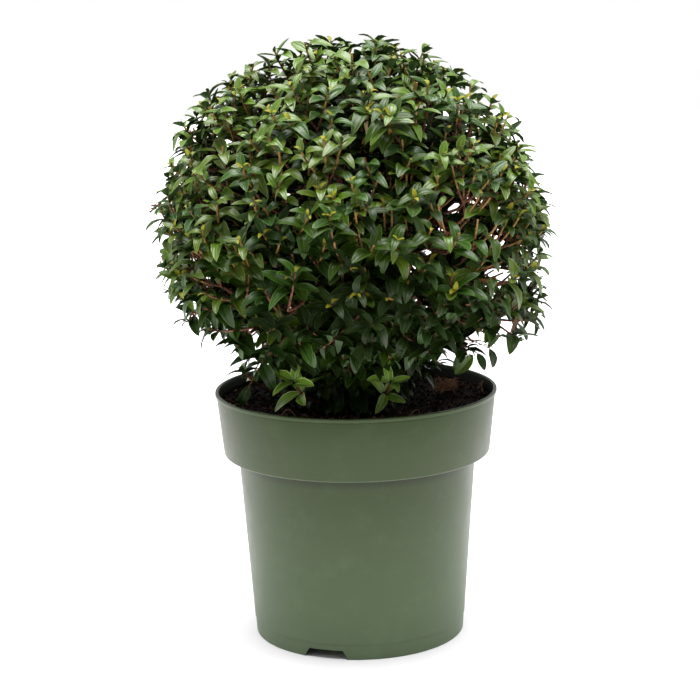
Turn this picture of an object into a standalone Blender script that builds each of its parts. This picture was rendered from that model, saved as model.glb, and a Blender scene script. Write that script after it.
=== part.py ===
"""Clipped ball shrub in a plastic grower's pot: pot, potting mix, main stem, boughs and foliage masses.

Metres, +Z up. The pot stands on the ground plane z = 0 with its axis on the Z axis. -Y is the front.
"""

import itertools
import math
import random

import bmesh
import bpy
from mathutils import Matrix, Vector

SEED = 7

# Pot: a thin injection-moulded container with a deep collar and a notched foot.
RIM_RADIUS = 0.115
POT_HEIGHT = 0.203
WALL = 0.0017
RIM_BEAD_HEIGHT = 0.003
RIM_BEAD_DEPTH = 0.0012
COLLAR_FOOT_RADIUS = 0.1089
COLLAR_FOOT_HEIGHT = 0.1537
COLLAR_EDGE = 0.0022
BODY_TOP_RADIUS = 0.0973
BODY_FOOT_RADIUS = 0.0869
FOOT_RADIUS = 0.0862
FOOT_BAND_HEIGHT = 0.0125
FOOT_BAND_STEP = 0.0005
FOOT_RING_WIDTH = 0.003
FLOOR_UNDERSIDE = 0.0085
FLOOR_THICKNESS = 0.002
POT_SIDES = 48

NOTCH_AZIMUTHS = (-109, 11, 131)
NOTCH_HEIGHT = 0.0075
NOTCH_TOP_WIDTH = 0.028
NOTCH_FOOT_WIDTH = 0.037
DRAIN_HOLE_RADIUS = 0.005
DRAIN_HOLE_CIRCLE = 0.062
DRAIN_HOLE_COUNT = 6
DRAIN_HOLE_SIDES = 10

# Pieces that touch are modelled this far apart.
FIT_GAP = 0.0003

# Potting mix: fills the pot to below its rim.
MIX_GAP = 0.0006
MIX_TOP = 0.185
MIX_ROUGHNESS = 0.0022
MIX_LEVEL_RADIUS = 0.03
MIX_RINGS = (0.022, 0.045, 0.068, 0.09)
MIX_SIDES = 32

# Crown: one dense mass clipped to a ball that sits low over the pot.
CROWN_CENTRE = Vector((0.0, 0.0, 0.328))
CROWN_RADIUS = 0.163
# Where the shears left the ball fuller or cut it flatter: azimuth, elevation, height, spread in degrees.
CLIP_BUMPS = (
    (180, 45, 0.005, 25),
    (0, -35, 0.010, 20),
    (180, -42, -0.020, 18),
)
# Below the ball the foliage narrows to a skirt round the foot of the stem.
SKIRT_FOOT_RADIUS = 0.046
SKIRT_FOOT_HEIGHT = 0.190
SKIRT_SLOPE = 0.56
# The core of close twigs that leaves stand out of. Its foot is hollowed to a cone over the potting mix.
CORE_SHARE = 0.79
CORE_LUMP = 0.013
CORE_SUBDIVISIONS = 3
HOLLOW_APEX = 0.252
HOLLOW_SLOPE = 0.28

# Main stem: rises into the hollow of the core. Height above the potting mix, drift in x and y, radius.
STEM_STATIONS = (
    (0.0000, 0.000, 0.000, 0.0125),
    (0.0040, 0.000, 0.000, 0.0098),
    (0.0120, 0.001, 0.000, 0.0086),
    (0.0280, 0.003, 0.001, 0.0074),
    (0.0450, 0.002, 0.002, 0.0062),
    (0.0600, 0.000, 0.002, 0.0054),
)
STEM_SIDES = 12

# Boughs: each leaves the stem low down and rises to where it enters the core.
BOUGH_AZIMUTHS = (-97, -37, 23, 83, 143, 203)
BOUGH_START = 0.011
BOUGH_STAGGER = 0.016
BOUGH_REACH = (0.052, 0.062)
BOUGH_RADIUS = 0.0042
BOUGH_TIP_RADIUS = 0.0026
BOUGH_STEPS = 6
BOUGH_SIDES = 8
BOUGH_END_GAP = 0.006
BOUGH_RISE = 0.9

# A stub of each limb carries on into the core.
STUB_LENGTH = 0.025
STUB_LEAD = 0.004
STUB_SIDES = 6

# Shoots fork into two twigs. Leaves come in opposite pairs, each turned a right angle from the pair below.
SHOOT_COUNT = 54
SHOOT_LOWEST_ELEVATION = -47
# Rings of shoots under the ball: elevation, count, and the share of a step that the ring is turned by.
SKIRT_RINGS = ((-55, 10, 0.72), (-66, 7, 0.97), (-75, 5, 0.21))
SHOOT_SINK = 0.010
SHOOT_RADIUS = 0.0018
FORK_DEPTH = 0.040
TIP_LEVEL = 0.018
TIP_SPREAD = 0.004
TWIG_SPREAD = 34
TWIG_SPREAD_RANGE = 6
TWIG_RADIUS = 0.0013
PAIR_DEPTHS = (0.0015, 0.0135)
PAIR_ANGLES = (44, 68)
PAIR_ANGLE_RANGE = 5
PAIR_OFFSET = 0.0006
LEAF_SIZE_RANGE = (0.88, 1.1)
LEAF_LENGTH = 0.034
LEAF_WIDTH = 0.015
LEAF_THICKNESS = 0.0010
LEAF_WIDEST = 0.44
LEAF_FOLD = 0.14
LEAF_DROOP = 0.10
LEAF_SPACING = 0.004
TWIST_TRIES = 8
TWIST_STEP = 24
# Clear height kept over the potting mix and the rim, and clear width kept inside the rim.
SPACE_OVER_MIX = 0.0055
SPACE_OVER_RIM = 0.003
SPACE_IN_RIM = 0.010

# Low shoots: young shoots that spring from the foot of the stem and stand clear of the ball.
LOW_SHOOTS = {
    "low_shoot_left": {"tip": (-0.049, -0.060, 0.221), "whorls": (0.0, 0.012), "leaf": 0.026},
    "low_shoot_right": {"tip": (0.027, -0.058, 0.219), "whorls": (0.0, 0.014), "leaf": 0.021},
    "low_shoot_side": {"tip": (-0.092, 0.012, 0.216), "whorls": (0.0, 0.010), "leaf": 0.021},
}
LOW_SHOOT_RADIUS = 0.0015
LOW_SHOOT_SIDES = 5
LOW_SHOOT_STEPS = 6
LOW_SHOOT_SPACE = 0.006
LOW_SHOOT_START = 0.004
LOW_SHOOT_TAPER = (1.2, 0.7)
LOW_LEAF_SHARE = 0.4
LOW_LEAF_SIZE_RANGE = (0.85, 1.05)
LOW_LEAF_DEPTHS = (0.001, 0.003)
LOW_LEAF_ANGLES = (64, 48)
LOW_LEAF_OPENING = 10
LOW_LEAF_TURN_RANGE = 9


def clear_scene():
    for obj in list(bpy.data.objects):
        bpy.data.objects.remove(obj)


def material(name, colour, roughness):
    made = bpy.data.materials.new(name)
    made.use_nodes = True
    shader = made.node_tree.nodes["Principled BSDF"]
    shader.inputs["Base Color"].default_value = (*colour, 1.0)
    shader.inputs["Roughness"].default_value = roughness
    shader.inputs["Metallic"].default_value = 0.0
    return made


def add_object(name, bm, surface=None, collection=None):
    """Turns a bmesh into an object with outward faces."""
    bmesh.ops.recalc_face_normals(bm, faces=bm.faces)
    mesh = bpy.data.meshes.new(name)
    bm.to_mesh(mesh)
    bm.free()
    if surface:
        mesh.materials.append(surface)
    obj = bpy.data.objects.new(name, mesh)
    (collection or bpy.context.scene.collection).objects.link(obj)
    return obj


def shade_round(obj, sharp_degrees=35):
    obj.data.shade_smooth()
    obj.data.set_sharp_from_angle(angle=math.radians(sharp_degrees))


def as_cutter(obj):
    obj.hide_render = True
    obj.display_type = "WIRE"
    return obj


def boolean(obj, operation, operand, solver="EXACT"):
    modifier = obj.modifiers.new(operation.title(), "BOOLEAN")
    modifier.operation = operation
    modifier.solver = solver
    if isinstance(operand, bpy.types.Collection):
        modifier.operand_type = "COLLECTION"
        modifier.collection = operand
    else:
        modifier.object = operand
    return modifier


def unit_direction(azimuth, elevation):
    """Unit vector from angles in degrees: azimuth turns from +X to +Y, elevation rises from level."""
    a, e = math.radians(azimuth), math.radians(elevation)
    return Vector((math.cos(a) * math.cos(e), math.sin(a) * math.cos(e), math.sin(e)))


def perpendicular(direction):
    """A unit vector square to the direction, level where it can be."""
    helper = Vector((0, 0, 1)) if abs(direction.z) < 0.95 else Vector((1, 0, 0))
    return direction.cross(helper).normalized()


# Turned and swept shapes


def lathe(profile, sides):
    """Turns a closed outline of (radius, height) points round the Z axis. Radius 0 closes on the axis."""
    bm = bmesh.new()
    rings = []
    for radius, height in profile:
        if radius == 0:
            rings.append([bm.verts.new((0, 0, height))])
            continue
        turns = [2 * math.pi * k / sides for k in range(sides)]
        ring = [(radius * math.cos(t), radius * math.sin(t), height) for t in turns]
        rings.append([bm.verts.new(point) for point in ring])
    for low, high in zip(rings, rings[1:] + rings[:1]):
        for k in range(sides):
            n = k + 1
            under, over = len(low), len(high)
            corners = (low[k % under], low[n % under], high[n % over], high[k % over])
            distinct = list(dict.fromkeys(corners))
            if len(distinct) > 2:
                bm.faces.new(distinct)
    return bm


def sweep(path, radii, sides):
    """A closed round limb along a path of points, with a radius at each point."""
    bm = bmesh.new()
    rings = []
    side = perpendicular((path[1] - path[0]).normalized())
    for k, (point, radius) in enumerate(zip(path, radii)):
        ahead = (path[min(k + 1, len(path) - 1)] - path[max(k - 1, 0)]).normalized()
        side = (side - ahead * side.dot(ahead)).normalized()
        other = ahead.cross(side)
        turns = [2 * math.pi * n / sides for n in range(sides)]
        spokes = [side * math.cos(t) + other * math.sin(t) for t in turns]
        rings.append([bm.verts.new(point + spoke * radius) for spoke in spokes])
    for low, high in zip(rings, rings[1:]):
        for n in range(sides):
            bm.faces.new((low[n], low[(n + 1) % sides], high[(n + 1) % sides], high[n]))
    bm.faces.new(rings[0])
    bm.faces.new(rings[-1])
    return bm


def curve_between(start, start_aim, end, end_aim, steps):
    """Points of a smooth Hermite curve that leaves and arrives along the two aims."""
    span = (end - start).length
    points = []
    for k in range(steps + 1):
        t = k / steps
        points.append(
            start * (2 * t**3 - 3 * t**2 + 1)
            + start_aim * span * (t**3 - 2 * t**2 + t)
            + end * (3 * t**2 - 2 * t**3)
            + end_aim * span * (t**3 - t**2)
        )
    return points


# Pot and potting mix


def pot_outline():
    """Outer wall from the foot up, over the rim bead, then the inner wall down to floor and foot ring."""
    collar_top = RIM_RADIUS - RIM_BEAD_DEPTH
    outer = [
        (FOOT_RADIUS, 0),
        (BODY_FOOT_RADIUS, FOOT_BAND_HEIGHT),
        (BODY_FOOT_RADIUS + FOOT_BAND_STEP, FOOT_BAND_HEIGHT + FOOT_BAND_STEP),
        (BODY_TOP_RADIUS, COLLAR_FOOT_HEIGHT - COLLAR_EDGE),
        (COLLAR_FOOT_RADIUS - COLLAR_EDGE, COLLAR_FOOT_HEIGHT - COLLAR_EDGE),
        (COLLAR_FOOT_RADIUS, COLLAR_FOOT_HEIGHT),
        (collar_top, POT_HEIGHT - RIM_BEAD_HEIGHT - RIM_BEAD_DEPTH),
        (RIM_RADIUS, POT_HEIGHT - RIM_BEAD_HEIGHT),
        (RIM_RADIUS, POT_HEIGHT - RIM_BEAD_DEPTH),
        (collar_top, POT_HEIGHT),
    ]
    inner = [
        (RIM_RADIUS - WALL - RIM_BEAD_DEPTH, POT_HEIGHT),
        (collar_top - WALL, POT_HEIGHT - RIM_BEAD_HEIGHT),
        (COLLAR_FOOT_RADIUS - WALL, COLLAR_FOOT_HEIGHT + WALL),
        (BODY_TOP_RADIUS - WALL, COLLAR_FOOT_HEIGHT - COLLAR_EDGE + WALL),
        (BODY_FOOT_RADIUS - WALL, FLOOR_UNDERSIDE + FLOOR_THICKNESS),
        (0, FLOOR_UNDERSIDE + FLOOR_THICKNESS),
        (0, FLOOR_UNDERSIDE),
        (FOOT_RADIUS - FOOT_RING_WIDTH, FLOOR_UNDERSIDE),
        (FOOT_RADIUS - FOOT_RING_WIDTH, 0),
    ]
    return outer + inner


def build_notch_cutter(azimuth):
    """A wedge that opens the foot ring: wider at the ground than at its top."""
    bm = bmesh.new()
    reach = 3 * FOOT_RING_WIDTH
    below = 0.002
    foot = NOTCH_FOOT_WIDTH / 2
    top = NOTCH_TOP_WIDTH / 2
    right = [(foot, -below), (foot, 0), (top, NOTCH_HEIGHT)]
    corners = right + [(-across, height) for across, height in reversed(right)]
    inside = [bm.verts.new((FOOT_RADIUS - reach, across, height)) for across, height in corners]
    outside = [bm.verts.new((FOOT_RADIUS + reach, across, height)) for across, height in corners]
    bm.faces.new(inside)
    bm.faces.new(outside)
    for k in range(len(corners)):
        n = (k + 1) % len(corners)
        bm.faces.new((inside[k], inside[n], outside[n], outside[k]))
    cutter = as_cutter(add_object("notch_cutter", bm))
    cutter.rotation_euler.z = math.radians(azimuth)
    return cutter


def build_drain_cutter(place):
    bm = bmesh.new()
    middle = Vector((*place, FLOOR_UNDERSIDE + FLOOR_THICKNESS / 2))
    bmesh.ops.create_cone(
        bm,
        cap_ends=True,
        segments=DRAIN_HOLE_SIDES,
        radius1=DRAIN_HOLE_RADIUS,
        radius2=DRAIN_HOLE_RADIUS,
        depth=4 * FLOOR_THICKNESS,
        matrix=Matrix.Translation(middle),
    )
    return as_cutter(add_object("drain_cutter", bm))


def build_pot(plastic):
    pot = add_object("pot", lathe(pot_outline(), POT_SIDES), plastic)
    for azimuth in NOTCH_AZIMUTHS:
        boolean(pot, "DIFFERENCE", build_notch_cutter(azimuth))
    for k in range(DRAIN_HOLE_COUNT):
        turn = 2 * math.pi * k / DRAIN_HOLE_COUNT
        place = (DRAIN_HOLE_CIRCLE * math.cos(turn), DRAIN_HOLE_CIRCLE * math.sin(turn))
        boolean(pot, "DIFFERENCE", build_drain_cutter(place))
    shade_round(pot)


def build_potting_mix(soil):
    """A plug that fits the pot's inside, with a crumbly top that is level round the stem."""
    draw = random.Random(SEED)
    shoulder = COLLAR_FOOT_HEIGHT - COLLAR_EDGE + WALL + FIT_GAP
    collar_slope = (RIM_RADIUS - COLLAR_FOOT_RADIUS) / (POT_HEIGHT - COLLAR_FOOT_HEIGHT)
    top_radius = COLLAR_FOOT_RADIUS + collar_slope * (MIX_TOP - COLLAR_FOOT_HEIGHT) - WALL - 2 * MIX_GAP
    underside = FLOOR_UNDERSIDE + FLOOR_THICKNESS + FIT_GAP
    outline = [
        (0, underside),
        (BODY_FOOT_RADIUS - WALL - MIX_GAP, underside),
        (BODY_TOP_RADIUS - WALL - MIX_GAP, shoulder),
        (COLLAR_FOOT_RADIUS - WALL - MIX_GAP, shoulder + COLLAR_EDGE),
        (top_radius, MIX_TOP),
    ]
    outline += [(radius, MIX_TOP) for radius in reversed(MIX_RINGS)]
    outline.append((0, MIX_TOP))
    bm = lathe(outline, MIX_SIDES)
    for vert in bm.verts:
        on_top = abs(vert.co.z - MIX_TOP) < 1e-6
        if on_top and math.hypot(vert.co.x, vert.co.y) > MIX_LEVEL_RADIUS:
            vert.co.z += draw.uniform(-1, 1) * MIX_ROUGHNESS
    shade_round(add_object("potting_mix", bm, soil))


# Crown: the space that foliage may use


def crown_reach(direction):
    """How far from the crown's centre the shears let a leaf reach in this direction."""
    reach = CROWN_RADIUS
    if direction.z < 0:
        drop = CROWN_CENTRE.z - SKIRT_FOOT_HEIGHT + SKIRT_SLOPE * SKIRT_FOOT_RADIUS
        level = math.hypot(direction.x, direction.y)
        reach = min(reach, drop / (SKIRT_SLOPE * level - direction.z))
    for azimuth, elevation, height, spread in CLIP_BUMPS:
        away = math.degrees(direction.angle(unit_direction(azimuth, elevation)))
        reach += height * math.exp(-((away / spread) ** 2))
    return reach


def core_reach(direction):
    """How far the core of close twigs reaches in this direction, cut short by the hollow at its foot."""
    reach = crown_reach(direction) * CORE_SHARE
    steepness = direction.z + HOLLOW_SLOPE * math.hypot(direction.x, direction.y)
    if steepness < 0:
        reach = min(reach, (CROWN_CENTRE.z - HOLLOW_APEX) / -steepness)
    return reach


def in_ball(point):
    offset = point - CROWN_CENTRE
    return offset.length < crown_reach(offset.normalized())


def off_core(point):
    offset = point - CROWN_CENTRE
    return offset.length > core_reach(offset.normalized()) + CORE_LUMP / 2


def over_pot(point):
    """True above the potting mix and clear of the rim, inside it or over it."""
    if point.z < MIX_TOP + SPACE_OVER_MIX:
        return False
    across = math.hypot(point.x, point.y)
    return point.z > POT_HEIGHT + SPACE_OVER_RIM or across < RIM_RADIUS - SPACE_IN_RIM


class Limbs:
    """The centrelines of stem and boughs, to keep foliage off them."""

    def __init__(self):
        self.samples = []

    def add(self, path, radii, between=6):
        for k in range(len(path) - 1):
            for n in range(between):
                t = n / between
                self.samples.append((path[k].lerp(path[k + 1], t), radii[k] * (1 - t) + radii[k + 1] * t))

    def clear(self, point, margin):
        return all((point - centre).length > radius + margin for centre, radius in self.samples)


# Stem and boughs


def stem_path():
    path = [Vector((x, y, MIX_TOP + FIT_GAP + height)) for height, x, y, _ in STEM_STATIONS]
    return path, [radius for *_, radius in STEM_STATIONS]


def point_on_stem(height):
    """The stem's axis at a height above the potting mix."""
    for (low, x0, y0, _), (high, x1, y1, _) in zip(STEM_STATIONS, STEM_STATIONS[1:]):
        if height <= high:
            t = (height - low) / (high - low)
            return Vector((x0 + (x1 - x0) * t, y0 + (y1 - y0) * t, MIX_TOP + FIT_GAP + height))
    raise ValueError("above the stem's tip")


def bough_course(number):
    """The bough's path and radii, from the stem's axis to just under the core's hollow."""
    azimuth = BOUGH_AZIMUTHS[number]
    share = (number * 2 % 5) / 4
    start = point_on_stem(BOUGH_START + BOUGH_STAGGER * share)
    out = unit_direction(azimuth, 0)
    reach = BOUGH_REACH[0] * (1 - share) + BOUGH_REACH[1] * share
    end = out * reach
    end.z = HOLLOW_APEX - HOLLOW_SLOPE * reach - BOUGH_END_GAP
    leaving = (out + Vector((0, 0, BOUGH_RISE * 0.5))).normalized()
    arriving = (out + Vector((0, 0, BOUGH_RISE))).normalized()
    path = curve_between(start, leaving, end, arriving, BOUGH_STEPS)
    shares = [k / BOUGH_STEPS for k in range(BOUGH_STEPS + 1)]
    radii = [BOUGH_RADIUS * (1 - t) + BOUGH_TIP_RADIUS * t for t in shares]
    return path, radii


def build_stem(bark):
    path, radii = stem_path()
    stem = add_object("main_stem", sweep(path, radii, STEM_SIDES), bark)
    shade_round(stem)


def build_stem_clearance():
    """The stem with a gap all round, to cut from the limbs that spring from it."""
    path, radii = stem_path()
    wider = sweep(path, [radius + FIT_GAP for radius in radii], STEM_SIDES)
    return as_cutter(add_object("stem_clearance", wider))


def build_bough(number, course, clearance, bark):
    bough = add_object(f"bough_{number + 1}", sweep(*course, BOUGH_SIDES), bark)
    boolean(bough, "DIFFERENCE", clearance)
    shade_round(bough)


# Foliage


def leaf_corners(base, along, face, length, width):
    """Root, left, tip and right of a blade that folds up along its midrib, and its own upward direction."""
    across = along.cross(face).normalized()
    face = across.cross(along).normalized()
    middle = base + along * length * LEAF_WIDEST + face * width * LEAF_FOLD
    tip = base + along * length - face * length * LEAF_DROOP
    return (base, middle - across * width / 2, tip, middle + across * width / 2), face


def leaf_blade(base, along, face, length, width):
    """One closed blade: two faces above, and four below that meet at a point under its midrib."""
    corners, up = leaf_corners(base, along, face, length, width)
    bm = bmesh.new()
    root, left, tip, right = [bm.verts.new(point) for point in corners]
    keel = bm.verts.new(base.lerp(corners[2], LEAF_WIDEST) - up * LEAF_THICKNESS)
    bm.faces.new((root, tip, left))
    bm.faces.new((root, right, tip))
    for one, other in ((root, left), (left, tip), (tip, right), (right, root)):
        bm.faces.new((one, other, keel))
    return bm


def leaf_points(base, along, face, length, width):
    """Points over a blade, its tip last, to test before making it."""
    (root, left, tip, right), _ = leaf_corners(base, along, face, length, width)
    points = [left, right]
    for side in (left, right):
        points += [side.lerp(tip, 0.5), root.lerp(side, 0.7)]
    return points + [root.lerp(tip, share) for share in (0.4, 0.6, 0.8)] + [tip]


def spacing_cell(point):
    return tuple(math.floor(value / LEAF_SPACING) for value in point)


class Spray:
    """Collects the closed pieces of one mass, each as an object of its own, ready for the union."""

    def __init__(self, name):
        self.collection = bpy.data.collections.new(name)
        bpy.context.scene.collection.children.link(self.collection)
        self.taken = {}

    def add_twig(self, path, radii, sides=3):
        add_object("twig", sweep(path, radii, sides), collection=self.collection)

    def add_leaf(self, *blade):
        add_object("leaf", leaf_blade(*blade), collection=self.collection)
        for point in leaf_points(*blade):
            self.taken.setdefault(spacing_cell(point), []).append(point)

    def crowded(self, points):
        """True where a leaf with these points would crowd one that is there already."""
        for point in points:
            x, y, z = spacing_cell(point)
            for a, b, c in itertools.product((-1, 0, 1), repeat=3):
                for other in self.taken.get((x + a, y + b, z + c), ()):
                    if (other - point).length < LEAF_SPACING:
                        return True
        return False

    def fuse_into(self, body, surface):
        """Joins every piece to the body by one union, then keeps only its outer skin, of one material."""
        modifier = boolean(body, "UNION", self.collection, "MANIFOLD")
        graph = bpy.context.evaluated_depsgraph_get()
        fused = bpy.data.meshes.new_from_object(body.evaluated_get(graph))
        body.modifiers.remove(modifier)
        body.data = fused
        for piece in list(self.collection.objects):
            bpy.data.objects.remove(piece)
        bpy.data.collections.remove(self.collection)
        keep_outer_skin(fused)
        fused.materials.clear()
        fused.materials.append(surface)


def keep_outer_skin(mesh):
    """Drops loose scraps and fills sealed hollows: only the largest connected shell stays."""
    bm = bmesh.new()
    bm.from_mesh(mesh)
    unseen = set(bm.verts)
    shells = []
    while unseen:
        shell = set()
        front = [next(iter(unseen))]
        while front:
            vert = front.pop()
            if vert in shell:
                continue
            shell.add(vert)
            front.extend(edge.other_vert(vert) for edge in vert.link_edges)
        unseen -= shell
        shells.append(shell)
    shells.sort(key=len)
    for shell in shells[:-1]:
        bmesh.ops.delete(bm, geom=list(shell), context="VERTS")
    bm.to_mesh(mesh)
    bm.free()


def shoot_directions():
    """Even directions over the ball, on a golden-angle spiral from the top down, then rings for the skirt."""
    golden = math.pi * (3 - math.sqrt(5))
    lowest = math.sin(math.radians(SHOOT_LOWEST_ELEVATION))
    for k in range(SHOOT_COUNT):
        z = 1 - (1 - lowest) * (k + 0.5) / SHOOT_COUNT
        across = math.sqrt(1 - z * z)
        yield Vector((across * math.cos(golden * k), across * math.sin(golden * k), z))
    for elevation, count, offset in SKIRT_RINGS:
        for k in range(count):
            yield unit_direction(360 * (k + offset) / count, elevation)


def fit_leaf(spray, base, axis, turn, angle, size, allowed):
    """Turns a leaf round its shoot until its blade lies in the space it may use."""
    length, width = size
    side = perpendicular(axis)
    for attempt in range(TWIST_TRIES):
        step = (attempt + 1) // 2 * (1 if attempt % 2 else -1)
        swing = Matrix.Rotation(turn + step * math.radians(TWIST_STEP), 3, axis) @ side
        along = (axis * math.cos(angle) + swing * math.sin(angle)).normalized()
        points = leaf_points(base, along, axis, length, width)
        if all(map(allowed, points)) and off_core(points[-1]) and not spray.crowded(points):
            return along
    return None


def grow_leaf_pairs(spray, tip, axis, draw, allowed):
    """A pair of leaves at each of a twig's upper nodes."""
    first_turn = draw.uniform(0, math.pi)
    for node, (depth, angle) in enumerate(zip(PAIR_DEPTHS, PAIR_ANGLES)):
        for opposite in range(2):
            base = tip - axis * (depth + PAIR_OFFSET * opposite)
            size = draw.uniform(*LEAF_SIZE_RANGE)
            turn = first_turn + node * math.pi / 2 + opposite * math.pi
            lean = math.radians(angle + draw.uniform(-PAIR_ANGLE_RANGE, PAIR_ANGLE_RANGE))
            length, width = LEAF_LENGTH * size, LEAF_WIDTH * size
            along = fit_leaf(spray, base, axis, turn, lean, (length, width), allowed)
            if along:
                spray.add_leaf(base, along, axis, length, width)


def grow_shoot(spray, way, draw, allowed):
    """One shoot that leaves the core and forks into two twigs that end under the ball's surface."""
    root = CROWN_CENTRE + way * (core_reach(way) - SHOOT_SINK)
    fork = CROWN_CENTRE + way * (crown_reach(way) - FORK_DEPTH)
    across = Matrix.Rotation(draw.uniform(0, math.pi), 3, way) @ perpendicular(way)
    if not all(allowed(root.lerp(fork, share)) for share in (0.25, 0.5, 0.75, 1.0)):
        return
    forked = False
    for hand in (-1, 1):
        spread = math.radians(TWIG_SPREAD + draw.uniform(-TWIG_SPREAD_RANGE, TWIG_SPREAD_RANGE))
        axis = (way * math.cos(spread) + across * hand * math.sin(spread)).normalized()
        rise = FORK_DEPTH - TIP_LEVEL - draw.uniform(0, TIP_SPREAD)
        tip = fork + axis * rise / math.cos(spread)
        if allowed(tip + axis * TWIG_RADIUS) and allowed(fork.lerp(tip, 0.5)):
            forked = True
            spray.add_twig([fork, tip], [SHOOT_RADIUS, TWIG_RADIUS])
            grow_leaf_pairs(spray, tip, axis, draw, allowed)
    if forked:
        spray.add_twig([root, fork + way * SHOOT_RADIUS], [SHOOT_RADIUS, SHOOT_RADIUS])


def build_core():
    """The crown's dense heart: a lumpy ball with a hollow foot."""
    draw = random.Random(f"{SEED} core")
    bm = bmesh.new()
    bmesh.ops.create_icosphere(bm, subdivisions=CORE_SUBDIVISIONS, radius=1)
    for vert in bm.verts:
        way = vert.co.normalized()
        vert.co = CROWN_CENTRE + way * (core_reach(way) + CORE_LUMP * (draw.random() - 0.5))
    return add_object("crown_foliage", bm)


def build_crown(limb_ends, limbs, green):
    """The core, a stub that carries each limb on into it, and the leafy shoots that stand out of it."""
    body = build_core()
    spray = Spray("crown pieces")
    for place, ahead, radius in limb_ends:
        stations = [place + ahead * (FIT_GAP + reach) for reach in (0, STUB_LEAD, STUB_LENGTH)]
        spray.add_twig(stations, [radius] * 3, STUB_SIDES)

    def allowed(point):
        return in_ball(point) and over_pot(point) and limbs.clear(point, 2 * SHOOT_RADIUS)

    for number, way in enumerate(shoot_directions()):
        grow_shoot(spray, way, random.Random(f"{SEED} shoot {number}"), allowed)
    spray.fuse_into(body, green)


def low_shoot_course(plan):
    """From beside the foot of the stem, low over the potting mix, then up into its tip."""
    tip = Vector(plan["tip"])
    out = Vector((tip.x, tip.y, 0)).normalized()
    up = Vector((0, 0, 1))
    start = point_on_stem(LOW_SHOOT_START)
    path = curve_between(start, out + up * 0.1, tip, out * 0.5 + up * 0.8, LOW_SHOOT_STEPS)
    thick, thin = [LOW_SHOOT_RADIUS * share for share in LOW_SHOOT_TAPER]
    shares = [k / LOW_SHOOT_STEPS for k in range(LOW_SHOOT_STEPS + 1)]
    return path, [thick * (1 - t) + thin * t for t in shares]


def build_low_shoot(name, plan, clearance, limbs, green):
    """A young shoot with whorls of two crossed pairs, standing clear of the stem that it springs from."""
    draw = random.Random(f"{SEED} {name}")
    path, radii = low_shoot_course(plan)
    limbs.add(path, radii)
    body = add_object(name, sweep(path, radii, LOW_SHOOT_SIDES))
    cut = boolean(body, "DIFFERENCE", clearance)
    graph = bpy.context.evaluated_depsgraph_get()
    body.data = bpy.data.meshes.new_from_object(body.evaluated_get(graph))
    body.modifiers.remove(cut)
    spray = Spray(f"{name} pieces")
    axis = (path[-1] - path[-2]).normalized()
    side = perpendicular(axis)
    for level, depth in enumerate(plan["whorls"]):
        for k in range(4):
            base = path[-1] - axis * (depth + LOW_LEAF_DEPTHS[k % 2])
            turn = 90 * k + 45 * level + draw.uniform(-LOW_LEAF_TURN_RANGE, LOW_LEAF_TURN_RANGE)
            swing = Matrix.Rotation(math.radians(turn), 3, axis) @ side
            lean = LOW_LEAF_ANGLES[k % 2] + draw.uniform(-PAIR_ANGLE_RANGE, PAIR_ANGLE_RANGE)
            lean = math.radians(lean + LOW_LEAF_OPENING * level)
            along = (axis * math.cos(lean) + swing * math.sin(lean)).normalized()
            length = plan["leaf"] * draw.uniform(*LOW_LEAF_SIZE_RANGE)
            blade = (base, along, axis, length, length * LOW_LEAF_SHARE)
            if all(map(over_pot, leaf_points(*blade))):
                spray.add_leaf(*blade)
                limbs.add([base, base + along * length], [LOW_SHOOT_SPACE, LOW_SHOOT_SPACE])
    spray.fuse_into(body, green)


def main():
    clear_scene()
    plastic = material("moulded_pot_plastic", (0.105, 0.135, 0.082), 0.45)
    soil = material("moist_potting_mix", (0.022, 0.014, 0.009), 0.95)
    bark = material("brown_bark", (0.20, 0.10, 0.045), 0.8)
    green = material("leaf_green", (0.035, 0.085, 0.025), 0.45)
    fresh = material("young_leaf_green", (0.09, 0.23, 0.03), 0.45)
    build_pot(plastic)
    build_potting_mix(soil)
    build_stem(bark)
    clearance = build_stem_clearance()
    limbs = Limbs()
    limb_ends = []
    for number in range(-1, len(BOUGH_AZIMUTHS)):
        path, radii = stem_path() if number < 0 else bough_course(number)
        if number >= 0:
            build_bough(number, (path, radii), clearance, bark)
        limbs.add(path, radii)
        limb_ends.append((path[-1], (path[-1] - path[-2]).normalized(), radii[-1]))
    for name, plan in LOW_SHOOTS.items():
        build_low_shoot(name, plan, clearance, limbs, fresh)
    build_crown(limb_ends, limbs, green)


main()
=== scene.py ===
"""Looks of the clipped ball shrub in its grower's pot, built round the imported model.

Metres, +Z up, the pot's axis on Z, -Y the front. One section for each piece or group of like pieces.
"""

import math
import random

import bmesh
import bpy
import numpy as np
from mathutils import Matrix, Vector, noise


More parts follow.
